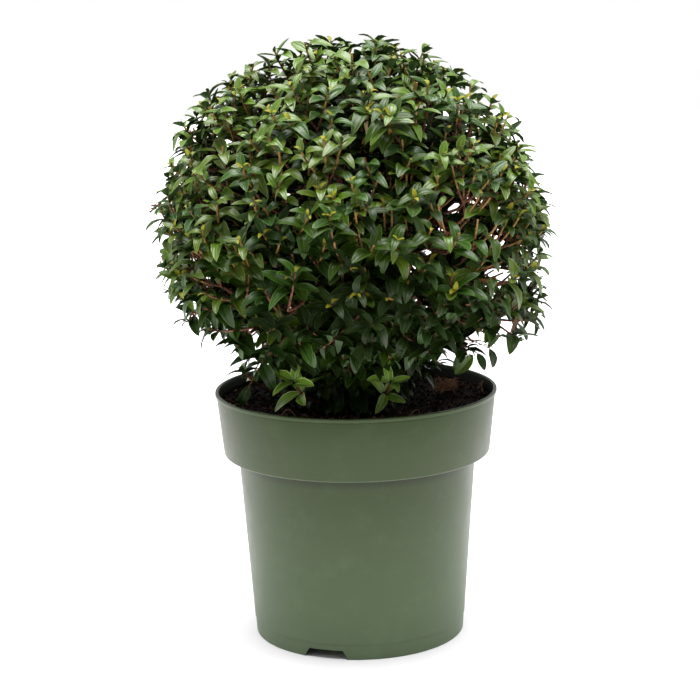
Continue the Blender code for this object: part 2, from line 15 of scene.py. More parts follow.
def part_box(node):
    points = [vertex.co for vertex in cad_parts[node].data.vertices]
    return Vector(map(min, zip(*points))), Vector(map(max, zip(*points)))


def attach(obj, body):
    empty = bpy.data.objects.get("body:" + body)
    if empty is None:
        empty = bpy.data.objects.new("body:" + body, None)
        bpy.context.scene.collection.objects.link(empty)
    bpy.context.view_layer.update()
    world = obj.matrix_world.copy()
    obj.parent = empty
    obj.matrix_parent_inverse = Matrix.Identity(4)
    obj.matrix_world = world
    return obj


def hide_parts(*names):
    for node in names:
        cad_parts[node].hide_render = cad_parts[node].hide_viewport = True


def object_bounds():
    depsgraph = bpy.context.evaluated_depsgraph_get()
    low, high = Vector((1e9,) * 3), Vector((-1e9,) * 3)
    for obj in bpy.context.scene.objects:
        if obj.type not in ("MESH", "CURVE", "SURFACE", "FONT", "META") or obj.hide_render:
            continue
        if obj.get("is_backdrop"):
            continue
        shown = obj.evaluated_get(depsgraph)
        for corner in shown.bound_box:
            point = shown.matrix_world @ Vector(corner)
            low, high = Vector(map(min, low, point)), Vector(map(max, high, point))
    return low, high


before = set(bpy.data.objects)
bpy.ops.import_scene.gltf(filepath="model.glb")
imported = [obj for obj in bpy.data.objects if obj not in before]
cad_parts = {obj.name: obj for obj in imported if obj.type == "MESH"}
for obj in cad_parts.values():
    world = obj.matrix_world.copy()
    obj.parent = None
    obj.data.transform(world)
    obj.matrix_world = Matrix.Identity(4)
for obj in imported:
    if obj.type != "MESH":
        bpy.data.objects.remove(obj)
cad_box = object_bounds()
scene = bpy.context.scene
BODY = "root"
SEED = 7


# Pot. A nursery container, injection-moulded in thin green polypropylene: a deep collar, a beaded rim and a
# foot ring with three drainage notches. Mould and knit lines are too faint to see, so the wall is plain.

_, pot_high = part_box("pot")
RIM_RADIUS = pot_high.x
POT_HEIGHT = pot_high.z
WALL = 0.0017
RIM_BEAD_HEIGHT = 0.003
RIM_BEAD_DEPTH = 0.0012
RIM_UNDERCUT = (0.0003, 0.0004)
COLLAR_FOOT_RADIUS = 0.1089
COLLAR_FOOT_HEIGHT = 0.1537
COLLAR_EDGE = 0.0022
BODY_TOP_RADIUS = 0.0973
BODY_FOOT_RADIUS = 0.0869
FOOT_RADIUS = 0.0862
FOOT_BAND_HEIGHT = 0.0125
FOOT_BAND_STEP = 0.0005
FOOT_RING_WIDTH = 0.003
FLOOR_UNDERSIDE = 0.0085
FLOOR_THICKNESS = 0.002
POT_SIDES = 160
POT_EDGE_ANGLE = 28
NOTCH_AZIMUTHS = (-109, 11, 131)
NOTCH_HEIGHT = 0.0075
NOTCH_TOP_WIDTH = 0.028
NOTCH_FOOT_WIDTH = 0.037
NOTCH_BELOW_GROUND = 0.002
DRAIN_HOLE_RADIUS = 0.005
DRAIN_HOLE_CIRCLE = 0.062
DRAIN_HOLE_COUNT = 6
DRAIN_HOLE_SIDES = 24


def linear(hex_colour):
    """sRGB hex to the linear RGBA that sockets take."""
    parts = [int(hex_colour[k : k + 2], 16) / 255 for k in (0, 2, 4)]
    return (*[c / 12.92 if c <= 0.04045 else ((c + 0.055) / 1.055) ** 2.4 for c in parts], 1.0)


def feed(node, inputs):
    """Sets a node's sockets in use, by name or number.

    An input is a value, an output socket to link, or a node, whose first output in use is linked.
    """
    for name, value in inputs.items():
        in_use = [socket for socket in node.inputs if socket.enabled]
        socket = in_use[name] if isinstance(name, int) else next(s for s in in_use if s.name == name)
        if isinstance(value, bpy.types.Node):
            value = next(output for output in value.outputs if output.enabled)
        if isinstance(value, bpy.types.NodeSocket):
            node.id_data.links.new(value, socket)
        else:
            socket.default_value = value


def add_node(tree, kind, inputs=None, **settings):
    """Adds one node, with its own properties as settings, and feeds its sockets."""
    made = tree.nodes.new(kind)
    for name, value in settings.items():
        setattr(made, name, value)
    feed(made, inputs or {})
    return made


def object_place(tree):
    """Object coordinates, so that a pattern keeps its real size in metres."""
    return add_node(tree, "ShaderNodeTexCoord").outputs["Object"]


def new_material(name, colour, **sockets):
    """A material of one Principled shader, with its plain values on the shader's own sockets."""
    made = bpy.data.materials.new(name)
    made.use_nodes = True
    shader = made.node_tree.nodes["Principled BSDF"]
    feed(shader, {"Base Color": linear(colour)})
    feed(shader, {socket.replace("_", " "): value for socket, value in sockets.items()})
    return made, made.node_tree, shader


def mottled_material(name, colour, shades, roughness, grain):
    """A natural surface whose colour wanders between two shades, in grains of the given size."""
    made, tree, shader = new_material(name, colour, Roughness=roughness)
    mottle = {"Vector": object_place(tree), "Scale": 1 / grain, "Detail": 3}
    mottle = add_node(tree, "ShaderNodeTexNoise", mottle)
    shades = {"Factor": mottle, "A": linear(shades[0]), "B": linear(shades[1])}
    feed(shader, {"Base Color": add_node(tree, "ShaderNodeMix", shades, data_type="RGBA")})
    return made


def mesh_of(bm, name, smooth_below=None):
    """Turns a bmesh into a mesh with outward faces, smooth across edges below the given angle."""
    bmesh.ops.recalc_face_normals(bm, faces=bm.faces)
    mesh = bpy.data.meshes.new(name)
    bm.to_mesh(mesh)
    bm.free()
    if smooth_below:
        mesh.shade_smooth()
        mesh.set_sharp_from_angle(angle=math.radians(smooth_below))
    return mesh


def new_object(name, mesh, surface=None):
    if surface:
        mesh.materials.clear()
        mesh.materials.append(surface)
    made = bpy.data.objects.new(name, mesh)
    scene.collection.objects.link(made)
    return made


def as_piece(obj, slot, *nodes):
    """A finished piece rides on the plant's one body and stands for the named solids."""
    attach(obj, BODY)
    if nodes:
        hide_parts(*nodes)
    return obj


def applied(obj):
    """The object's mesh with its modifiers applied and gone."""
    graph = bpy.context.evaluated_depsgraph_get()
    result = bpy.data.meshes.new_from_object(obj.evaluated_get(graph))
    obj.modifiers.clear()
    obj.data = result
    return obj


def rounded(corners, steps=5):
    """A closed outline from (radius, height, fillet) corners, each fillet as an arc."""
    points = []
    for k, (x, y, fillet) in enumerate(corners):
        here = Vector((x, y))
        before = (Vector(corners[k - 1][:2]) - here).normalized()
        after = (Vector(corners[(k + 1) % len(corners)][:2]) - here).normalized()
        if fillet == 0:
            points.append(here)
            continue
        half = before.angle(after) / 2
        centre = here + (before + after).normalized() * (fillet / math.sin(half))
        start = here + before * (fillet / math.tan(half)) - centre
        end = here + after * (fillet / math.tan(half)) - centre
        swing = start.angle_signed(end)
        for n in range(steps + 1):
            points.append(centre + Matrix.Rotation(-swing * n / steps, 2) @ start)
    return points


def ring_spots(radius, sides):
    """Points round the Z axis, as (x, y)."""
    turns = [math.tau * k / sides for k in range(sides)]
    return [(radius * math.cos(t), radius * math.sin(t)) for t in turns]


def lathe(outline, sides):
    """Turns a closed outline of (radius, height) points round the Z axis; a radius of 0 closes on it."""
    bm = bmesh.new()
    rings = []
    for radius, height in outline:
        spots = ring_spots(radius, sides if radius > 0 else 1)
        rings.append([bm.verts.new((x, y, height)) for x, y in spots])
    for low, high in zip(rings, rings[1:] + rings[:1]):
        for k in range(sides):
            n = k + 1
            under, over = len(low), len(high)
            corners = dict.fromkeys((low[k % under], low[n % under], high[n % over], high[k % over]))
            if len(corners) > 2:
                bm.faces.new(list(corners))
    return bm


def pot_corners():
    """The wall's outline as (radius, height, fillet): up the outside, over the bead and down the inside."""
    collar_top = RIM_RADIUS - RIM_BEAD_DEPTH
    bead_foot = POT_HEIGHT - RIM_BEAD_HEIGHT
    step_foot = COLLAR_FOOT_HEIGHT - COLLAR_EDGE
    inner_foot = FOOT_RADIUS - FOOT_RING_WIDTH
    return [
        (FOOT_RADIUS, 0, 0.0006),
        (BODY_FOOT_RADIUS, FOOT_BAND_HEIGHT, 0),
        (BODY_FOOT_RADIUS + FOOT_BAND_STEP, FOOT_BAND_HEIGHT + FOOT_BAND_STEP, 0.0004),
        (BODY_TOP_RADIUS, step_foot, 0.0012),
        (COLLAR_FOOT_RADIUS, step_foot, 0.0018),
        (collar_top, bead_foot - RIM_BEAD_DEPTH, 0),
        (collar_top - RIM_UNDERCUT[0], bead_foot - RIM_UNDERCUT[1], 0),
        (RIM_RADIUS, bead_foot, 0.0007),
        (RIM_RADIUS, POT_HEIGHT, 0.0009),
        (RIM_RADIUS - WALL - RIM_BEAD_DEPTH, POT_HEIGHT, 0.0009),
        (collar_top - WALL, bead_foot, 0),
        (COLLAR_FOOT_RADIUS - WALL, COLLAR_FOOT_HEIGHT + WALL, 0.0012),
        (BODY_TOP_RADIUS - WALL, step_foot + WALL, 0.0012),
        (BODY_FOOT_RADIUS - WALL, FLOOR_UNDERSIDE + FLOOR_THICKNESS, 0.002),
        (0, FLOOR_UNDERSIDE + FLOOR_THICKNESS, 0),
        (0, FLOOR_UNDERSIDE, 0),
        (inner_foot, FLOOR_UNDERSIDE, 0.001),
        (inner_foot, 0, 0.0006),
    ]


def notch_cutter(azimuth):
    """A wedge that opens the foot ring: wider at the ground than at its top."""
    bm = bmesh.new()
    reach = 3 * FOOT_RING_WIDTH
    foot, top = NOTCH_FOOT_WIDTH / 2, NOTCH_TOP_WIDTH / 2
    right = [(foot, -NOTCH_BELOW_GROUND), (foot, 0), (top, NOTCH_HEIGHT)]
    corners = right + [(-across, height) for across, height in reversed(right)]
    ends = [[bm.verts.new((FOOT_RADIUS + out, a, h)) for a, h in corners] for out in (-reach, reach)]
    bm.faces.new(ends[0])
    bm.faces.new(ends[1])
    for k in range(len(corners)):
        n = (k + 1) % len(corners)
        bm.faces.new((ends[0][k], ends[0][n], ends[1][n], ends[1][k]))
    bmesh.ops.rotate(bm, verts=bm.verts, matrix=Matrix.Rotation(math.radians(azimuth), 3, "Z"))
    return new_object("notch_cutter", mesh_of(bm, "notch_cutter"))


def drain_cutter(number):
    """A rod that opens one of the floor's drain holes."""
    turn = math.tau * number / DRAIN_HOLE_COUNT
    place = Vector((math.cos(turn), math.sin(turn), 0)) * DRAIN_HOLE_CIRCLE
    place.z = FLOOR_UNDERSIDE + FLOOR_THICKNESS / 2
    bm = bmesh.new()
    bmesh.ops.create_cone(
        bm,
        cap_ends=True,
        segments=DRAIN_HOLE_SIDES,
        radius1=DRAIN_HOLE_RADIUS,
        radius2=DRAIN_HOLE_RADIUS,
        depth=4 * FLOOR_THICKNESS,
        matrix=Matrix.Translation(place),
    )
    return new_object("drain_cutter", mesh_of(bm, "drain_cutter"))


# Polypropylene, injection-moulded against a finely textured tool: a satin sheen over a faint orange peel,
# dust that greys it a little, and flow streaks round the wall. The body below the collar is painted paler
# towards the foot as painted light from the floor, and a little darker just under the collar as painted
# shade;
# the collar's lower lip has a painted highlight and the crease under that lip a painted shadow. Inside, the
# wall is painted nearly black as painted shade.
PEEL_SIZE = 0.0007
PEEL_RELIEF = 0.0002
STREAK_HEIGHT = 0.004
STREAK_STRETCH = 12
DUST_PATCH = 0.02222
DUST_FROM, DUST_FULL, DUST_SHARE = 0.5, 0.85, 0.3
ROUGH_FROM, ROUGH_FULL = 0.3, 0.8
ROUGHNESS_RANGE = (0.36, 0.5)
PAINTED_SHADE_BELOW_RIM = 0.002
LIP_FOOT = COLLAR_FOOT_HEIGHT - COLLAR_EDGE
LIP_HEIGHT = 0.0012
# The collar's lower lip is painted paler, as a painted highlight.
LIP_PAINTED_HIGHLIGHT = 0.42
# A band of painted shadow in the crease under the collar's lip.
CREASE_HEIGHT = 0.010
PAINTED_SHADOW_SHARE = 0.95
PAINTED_SHADOW_COLOUR = "161A12"
# The painted light grows from the collar to the foot, paler towards the foot. It starts below nothing, which
# takes the wall a little past its plain shade to a darker one as painted shade under the collar, so that mix
# isn't clamped.
PAINTED_LIGHT_AT_COLLAR = -0.12


def moulded_plastic(name, dark, light, dust_and_painted_light_shade, painted_highlight_shade):
    """Satin plastic between two shades and greyed by dust, with painted light below the collar, a painted
    highlight on its lip and painted shadow under it.
    """
    made, tree, shader = new_material(name, light, Roughness=0.42, IOR=1.49, Specular_IOR_Level=0.3)
    place = object_place(tree)
    height = add_node(tree, "ShaderNodeSeparateXYZ", {"Vector": place}).outputs["Z"]
    stretch = {"Vector": place, "Scale": (1, 1, STREAK_STRETCH)}
    stretched = add_node(tree, "ShaderNodeMapping", stretch)
    streak_scale = 1 / (STREAK_STRETCH * STREAK_HEIGHT)
    streaks = {"Vector": stretched, "Scale": streak_scale, "Detail": 3}
    streaks = add_node(tree, "ShaderNodeTexNoise", streaks)
    dust = {"Vector": place, "Scale": 1 / DUST_PATCH, "Detail": 6, "Roughness": 0.7}
    dust = add_node(tree, "ShaderNodeTexNoise", dust)
    peel = add_node(tree, "ShaderNodeTexNoise", {"Vector": place, "Scale": 1 / PEEL_SIZE, "Detail": 1})
    shades = {"Factor": streaks, "A": linear(dark), "B": linear(light)}
    coat = add_node(tree, "ShaderNodeMix", shades, data_type="RGBA")
    on_body = add_node(tree, "ShaderNodeMath", {0: height, 1: LIP_FOOT}, operation="LESS_THAN")
    on_collar = add_node(tree, "ShaderNodeMath", {0: 1.0, 1: on_body}, operation="SUBTRACT")
    shares = []
    # Bands of painted light and shade: the body from the collar to the foot, a painted highlight on the
    # collar's lip, and painted shadow in the crease under it.
    for side, low, high, at_low, at_high in (
        (on_body, LIP_FOOT, 0.0, PAINTED_LIGHT_AT_COLLAR, 1.0),
        (on_collar, LIP_FOOT + LIP_HEIGHT, LIP_FOOT, 0.0, LIP_PAINTED_HIGHLIGHT),
        (on_body, LIP_FOOT - CREASE_HEIGHT, LIP_FOOT, 0.0, PAINTED_SHADOW_SHARE),
    ):
        band = {"Value": height, "From Min": low, "From Max": high, "To Min": at_low, "To Max": at_high}
        band = add_node(tree, "ShaderNodeMapRange", band)
        shares.append(add_node(tree, "ShaderNodeMath", {0: band, 1: side}, operation="MULTIPLY"))
    dusty = {"Value": dust, "From Min": DUST_FROM, "From Max": DUST_FULL, "To Max": DUST_SHARE}
    dusty = add_node(tree, "ShaderNodeMapRange", dusty)
    shares[0] = add_node(tree, "ShaderNodeMath", {0: dusty, 1: shares[0]}, operation="ADD")
    for share, shade in zip(shares, (dust_and_painted_light_shade, painted_highlight_shade, PAINTED_SHADOW_COLOUR)):
        layer = {"Factor": share, "A": coat, "B": linear(shade)}
        coat = add_node(tree, "ShaderNodeMix", layer, data_type="RGBA", clamp_factor=False)
    rough = {"Value": dust, "From Min": ROUGH_FROM, "From Max": ROUGH_FULL}
    rough |= {"To Min": ROUGHNESS_RANGE[0], "To Max": ROUGHNESS_RANGE[1]}
    rough = add_node(tree, "ShaderNodeMapRange", rough)
    relief = add_node(tree, "ShaderNodeBump", {"Strength": 0.12, "Distance": PEEL_RELIEF, "Height": peel})
    feed(shader, {"Base Color": coat, "Roughness": rough, "Normal": relief})
    return made


# The last two colours are the body's painted light, which its dust also takes, and the lip's painted
# highlight.
polypropylene = moulded_plastic("moulded_green_polypropylene", "324020", "384624", "56674A", "8E9A86")
# Inside the pot the same plastic is painted nearly black, as painted shade.
shaded_inside = moulded_plastic("polypropylene_stained_by_peat", "15180D", "1B1F11", "1D1F16", "1D1F16")

pot = new_object("pot_wall", mesh_of(lathe(rounded(pot_corners()), POT_SIDES), "pot_wall"), polypropylene)
cutters = [notch_cutter(azimuth) for azimuth in NOTCH_AZIMUTHS]
cutters += [drain_cutter(k) for k in range(DRAIN_HOLE_COUNT)]
for cutter in cutters:
    cut = pot.modifiers.new("Cut", "BOOLEAN")
    cut.operation = "DIFFERENCE"
    cut.object = cutter
applied(pot)
for cutter in cutters:
    bpy.data.objects.remove(cutter)
pot.data.shade_smooth()
pot.data.set_sharp_from_angle(angle=math.radians(POT_EDGE_ANGLE))
# Faces inside the wall take the near-black copy, as painted shade.
pot.data.materials.append(shaded_inside)
for face in pot.data.polygons:
    if face.center.xy.dot(face.normal.xy) < 0 and face.center.z < POT_HEIGHT - PAINTED_SHADE_BELOW_RIM:
        face.material_index = 1
as_piece(pot, "pot_plastic", "pot")


# Potting mix. Moist bark and peat, dark brown with reddish bits, filled by hand round the plant and banked
# up to just below the rim; crumbs and bark flecks lie loose on it.

MIX_TOP = 0.185
MIX_GAP = 0.0006
FLOOR_GAP = 0.0003
MIX_BANK = 0.011
BANK_FROM, BANK_TO = 0.035, 0.095
MIX_RINGS = 70
MIX_SECTORS = 180
MIX_RING_CROWDING = 0.8
MIX_EDGE_ANGLE = 60
WALL_SINK = 0.002
STEM_RISE, STEM_RISE_REACH = 0.003, 0.03
MIX_SWELL = 0.0022
MIX_SWELL_SIZE = 0.022
MIX_GRAIN = 0.0011
MIX_GRAIN_SIZE = 0.0035
SWELL_SLICE, GRAIN_SLICE = 0.1, 0.7
COLLAR_SLOPE = (RIM_RADIUS - COLLAR_FOOT_RADIUS) / (POT_HEIGHT - COLLAR_FOOT_HEIGHT)
MIX_RADIUS = COLLAR_FOOT_RADIUS + COLLAR_SLOPE * (MIX_TOP - COLLAR_FOOT_HEIGHT) - WALL - 2 * MIX_GAP
CRUMB_DENSITY = 60000.0
CRUMB_SIZE = (0.0007, 0.0021)
FLECK_DENSITY = 9000.0
FLECK_SIZE = (0.0010, 0.0030)
LEAST_FACING_UP = 0.3
LUMP_ROUGHNESS = (0.7, 1.15)
# The two lumps: seed and flatness.
CRUMB_SHAPE, FLECK_SHAPE = (3, 0.8), (5, 0.35)


def clamped(value, low=0, high=1):
    return min(max(value, low), high)


def mix_level(across):
    """The mix's mean height at a distance from the axis: banked up to the wall, raised at the stem."""
    share = clamped((across - BANK_FROM) / (BANK_TO - BANK_FROM))
    sink = WALL_SINK * (across / MIX_RADIUS) ** 6
    rise = STEM_RISE * math.exp(-((across / STEM_RISE_REACH) ** 2))
    return MIX_TOP + MIX_BANK * share * share * (3 - 2 * share) - sink + rise


def mix_height(x, y):
    """The height of the mix's surface, with soft swells and crumbs on its mean level."""
    swell = noise.noise(Vector((x, y, SWELL_SLICE)) / MIX_SWELL_SIZE) * MIX_SWELL
    grain = noise.fractal(Vector((x, y, GRAIN_SLICE)) / MIX_GRAIN_SIZE, 0.8, 2.1, 3) * MIX_GRAIN
    return mix_level(math.hypot(x, y)) + swell + grain


inner_step = LIP_FOOT + WALL + FLOOR_GAP
courses = [(MIX_RADIUS * (ring / MIX_RINGS) ** MIX_RING_CROWDING, None) for ring in range(1, MIX_RINGS + 1)]
courses += [
    (COLLAR_FOOT_RADIUS - WALL - MIX_GAP, inner_step + COLLAR_EDGE),
    (BODY_TOP_RADIUS - WALL - MIX_GAP, inner_step),
    (BODY_FOOT_RADIUS - WALL - MIX_GAP, FLOOR_UNDERSIDE + FLOOR_THICKNESS + FLOOR_GAP),
]
bm = bmesh.new()
rings = []
for radius, height in courses:
    spots = ring_spots(radius, MIX_SECTORS)
    rings.append([bm.verts.new((x, y, mix_height(x, y) if height is None else height)) for x, y in spots])
for inner, outer in zip(rings, rings[1:]):
    for k in range(MIX_SECTORS):
        n = (k + 1) % MIX_SECTORS
        bm.faces.new((inner[k], outer[k], outer[n], inner[n]))
centre = bm.verts.new((0, 0, mix_height(0, 0)))
for k in range(MIX_SECTORS):
    bm.faces.new((centre, rings[0][k], rings[0][(k + 1) % MIX_SECTORS]))
bm.faces.new(rings[-1])

# Peat and composted bark: matte and nearly black where moist, browner on the dry crumbs.
PEAT_CRUMB = 0.002381
DAMP_PATCH = 0.01667
CRUMB_RELIEF = 0.0008
peat, tree, shader = new_material("moist_peat_and_bark", "1C120C", Roughness=0.95, Specular_IOR_Level=0.25)
place = object_place(tree)
crumbs = {"Vector": place, "Scale": 1 / PEAT_CRUMB, "Detail": 6, "Roughness": 0.75}
crumbs = add_node(tree, "ShaderNodeTexNoise", crumbs)
damp = add_node(tree, "ShaderNodeTexNoise", {"Vector": place, "Scale": 1 / DAMP_PATCH, "Detail": 3})
colours = add_node(tree, "ShaderNodeValToRGB", {"Fac": crumbs})
ramp = colours.color_ramp
for position, colour in ((0.34, "0E0906"), (0.52, "21140E"), (0.72, "40281B")):
    stop = ramp.elements.new(position)
    stop.color = linear(colour)
ramp.elements.remove(ramp.elements[-1])
ramp.elements.remove(ramp.elements[0])
damped = {"Factor": damp, "A": colours, "B": linear("150D09")}
damped = add_node(tree, "ShaderNodeMix", damped, data_type="RGBA")
relief = add_node(tree, "ShaderNodeBump", {"Strength": 0.8, "Distance": CRUMB_RELIEF, "Height": crumbs})
feed(shader, {"Base Color": damped, "Normal": relief})

mix = new_object("potting_mix_bed", mesh_of(bm, "potting_mix_bed", MIX_EDGE_ANGLE), peat)


def new_tree(name, *sockets):
    """A geometry tree with a geometry input and output, and named inputs given as (name, kind, value)."""
    made = bpy.data.node_groups.new(name, "GeometryNodeTree")
    made.interface.new_socket("Geometry", in_out="INPUT", socket_type="NodeSocketGeometry")
    made.interface.new_socket("Geometry", in_out="OUTPUT", socket_type="NodeSocketGeometry")
    for label, kind, value in sockets:
        socket = made.interface.new_socket(label, in_out="INPUT", socket_type=f"NodeSocket{kind}")
        if value is not None:
            socket.default_value = value
    return made, add_node(made, "NodeGroupInput"), add_node(made, "NodeGroupOutput")


def end_tree(geometry, given, result):
    """Ends a geometry tree: makes the geometry real, in the finish that was given."""
    tree = result.id_data
    whole = add_node(tree, "GeometryNodeRealizeInstances", {"Geometry": geometry})
    finished = {"Geometry": whole, "Material": given.outputs["Finish"]}
    feed(result, {"Geometry": add_node(tree, "GeometryNodeSetMaterial", finished)})


def grown(source, tree, **values):
    """Runs a geometry tree on the source object and leaves its plain mesh in it."""
    modifier = source.modifiers.new("Grow", "NODES")
    modifier.node_group = tree
    for item in tree.interface.items_tree:
        key = item.name.lower().replace(" ", "_")
        if item.in_out == "INPUT" and key in values:
            modifier[item.identifier] = values[key]
    return applied(source)


# Crumbs are scattered over the bed's top, each turned and sized at random.
scatter, given, result = new_tree(
    "scattered_crumbs",
    ("Crumb", "Object", None),
    ("Density", "Float", 1000.0),
    ("Smallest", "Float", 0.001),
    ("Largest", "Float", 0.002),
    ("Seed", "Int", 0),
    ("Finish", "Material", None),
)
normal = add_node(scatter, "GeometryNodeInputNormal")
facing = add_node(scatter, "ShaderNodeSeparateXYZ", {0: normal}).outputs["Z"]
on_top = add_node(scatter, "ShaderNodeMath", {0: facing, 1: LEAST_FACING_UP}, operation="GREATER_THAN")
spread = {"Mesh": given.outputs["Geometry"], "Selection": on_top}
spread |= {name: given.outputs[name] for name in ("Density", "Seed")}
spots = add_node(scatter, "GeometryNodeDistributePointsOnFaces", spread)
turn_range = {"Max": (math.tau,) * 3, "Seed": given.outputs["Seed"]}
turn = add_node(scatter, "FunctionNodeRandomValue", turn_range, data_type="FLOAT_VECTOR")
rotation = add_node(scatter, "FunctionNodeEulerToRotation", {"Euler": turn})
sizes = {"Min": given.outputs["Smallest"], "Max": given.outputs["Largest"], "Seed": given.outputs["Seed"]}
size = add_node(scatter, "FunctionNodeRandomValue", sizes, data_type="FLOAT_VECTOR")
crumb = add_node(scatter, "GeometryNodeObjectInfo", {"Object": given.outputs["Crumb"]}).outputs["Geometry"]
placed = {"Points": spots, "Instance": crumb, "Rotation": rotation, "Scale": size}
placed = add_node(scatter, "GeometryNodeInstanceOnPoints", placed)
end_tree(placed, given, result)


def lump(seed, squash):
    """A rough little stone shape of unit size."""
    draw = random.Random(seed)
    bm = bmesh.new()
    bmesh.ops.create_icosphere(bm, subdivisions=1, radius=1)
    for vert in bm.verts:
        vert.co *= draw.uniform(*LUMP_ROUGHNESS)
        vert.co.z *= squash
    return new_object("lump", mesh_of(bm, "lump"))


# Composted bark: dry, matte flakes, dark brown with redder ones among them.
BARK_SHADES = ("2A180F", "7E4E36")
fleck_bark = mottled_material("composted_bark_fleck", "4E2E20", BARK_SHADES, roughness=0.85, grain=0.003846)

for name, finish, shape, density, (smallest, largest) in (
    ("peat_crumbs", peat, CRUMB_SHAPE, CRUMB_DENSITY, CRUMB_SIZE),
    ("bark_flecks", fleck_bark, FLECK_SHAPE, FLECK_DENSITY, FLECK_SIZE),
):
    crumb = lump(*shape)
    scattered = new_object(name, mix.data.copy())
    sizes = {"smallest": smallest, "largest": largest}
    grown(scattered, scatter, crumb=crumb, density=density, **sizes, seed=SEED, finish=finish)
    bpy.data.objects.remove(crumb)
    as_piece(scattered, "potting_mix")
as_piece(mix, "potting_mix", "potting_mix")


# Main stem and boughs. Short, hard, reddish-brown wood with thin flaking bark, hidden in the foliage; the
# stem flares at the mix and each bough leaves it low down. Every mesh follows its solid's course.

UP = Vector((0, 0, 1))
NEARLY_UPRIGHT = 0.95
FIT_GAP = 0.0003
# The stem: height over the mix, x, y and radius.
STEM_STATIONS = (
    (0.0000, 0.000, 0.000, 0.0125),
    (0.0040, 0.000, 0.000, 0.0098),
    (0.0120, 0.001, 0.000, 0.0086),
    (0.0280, 0.003, 0.001, 0.0074),
    (0.0450, 0.002, 0.002, 0.0062),
    (0.0600, 0.000, 0.002, 0.0054),
)
CROWN_CENTRE = Vector((0.0, 0.0, 0.328))
HOLLOW_APEX = 0.252
HOLLOW_SLOPE = 0.28
BOUGH_AZIMUTHS = (-97, -37, 23, 83, 143, 203)
BOUGH_START = 0.011
BOUGH_STAGGER = 0.016
BOUGH_REACH = (0.052, 0.062)
BOUGH_RADIUS = 0.0042
BOUGH_TIP_RADIUS = 0.0026
BOUGH_STEPS = 6
BOUGH_END_GAP = 0.006
BOUGH_RISES = (0.45, 0.9)
BARK_RELIEF = 0.14
BARK_RIDGE_LENGTH = 0.012
BARK_RIDGES = 5
BARK_EDGE_ANGLE = 70
# How finely each course is drawn: the parts of a step, and the sides.
STEM_DETAIL = (10, 28)
BOUGH_DETAIL = (6, 16)


def unit_direction(azimuth, elevation):
    """Unit vector from angles in degrees: azimuth turns from +X to +Y, elevation rises from level."""
    a, e = math.radians(azimuth), math.radians(elevation)
    return Vector((math.cos(a) * math.cos(e), math.sin(a) * math.cos(e), math.sin(e)))


def perpendicular(direction):
    """A unit vector square to the direction, level where it can be."""
    helper = UP if abs(direction.z) < NEARLY_UPRIGHT else Vector((1, 0, 0))
    return direction.cross(helper).normalized()


def outward_from_axis(point):
    return Vector((point.x, point.y, 0)).normalized()


def curve_between(start, start_aim, end, end_aim, steps):
    """Points of a smooth Hermite curve that leaves and arrives along the two aims."""
    span = (end - start).length
    points = []
    for k in range(steps + 1):
        t = k / steps
        points.append(
            start * (2 * t**3 - 3 * t**2 + 1)
            + start_aim * span * (t**3 - 2 * t**2 + t)
            + end * (3 * t**2 - 2 * t**3)
            + end_aim * span * (t**3 - t**2)
        )
    return points


def stem_path():
    """The stem's axis and its radii."""
    path = [Vector((x, y, MIX_TOP + FIT_GAP + height)) for height, x, y, _ in STEM_STATIONS]
    return path, [radius for *_, radius in STEM_STATIONS]


def point_on_stem(height):
    """The stem's axis at a height above the potting mix."""
    for (low, x0, y0, _), (high, x1, y1, _) in zip(STEM_STATIONS, STEM_STATIONS[1:]):
        if height <= high:
            t = (height - low) / (high - low)
            return Vector((x0 + (x1 - x0) * t, y0 + (y1 - y0) * t, MIX_TOP + FIT_GAP + height))
    raise ValueError("above the stem's tip")


def bough_course(number):
    """The bough's path and radii, from the stem's axis to where it enters the crown."""
    azimuth = BOUGH_AZIMUTHS[number]
    share = (number * 2 % 5) / 4
    start = point_on_stem(BOUGH_START + BOUGH_STAGGER * share)
    out = unit_direction(azimuth, 0)
    reach = BOUGH_REACH[0] * (1 - share) + BOUGH_REACH[1] * share
    end = out * reach
    end.z = HOLLOW_APEX - HOLLOW_SLOPE * reach - BOUGH_END_GAP
    leaving, arriving = ((out + UP * rise).normalized() for rise in BOUGH_RISES)
    path = curve_between(start, leaving, end, arriving, BOUGH_STEPS)
    shares = [k / BOUGH_STEPS for k in range(BOUGH_STEPS + 1)]
    return path, [BOUGH_RADIUS * (1 - t) + BOUGH_TIP_RADIUS * t for t in shares]


def finer(path, radii, times):
    """The same course with more stations, smooth through the given ones."""
    points, sizes = [], []
    last = len(path) - 1
    for k in range(last):
        p0, p1, p2, p3 = path[max(k - 1, 0)], path[k], path[k + 1], path[min(k + 2, last)]
        for n in range(times):
            t = n / times
            points.append(
                0.5 * (2 * p1 + (p2 - p0) * t + (2 * p0 - 5 * p1 + 4 * p2 - p3) * t * t)
                + 0.5 * (3 * p1 - p0 - 3 * p2 + p3) * t**3
            )
            sizes.append(radii[k] * (1 - t) + radii[k + 1] * t)
    return points + [path[-1]], sizes + [radii[-1]]


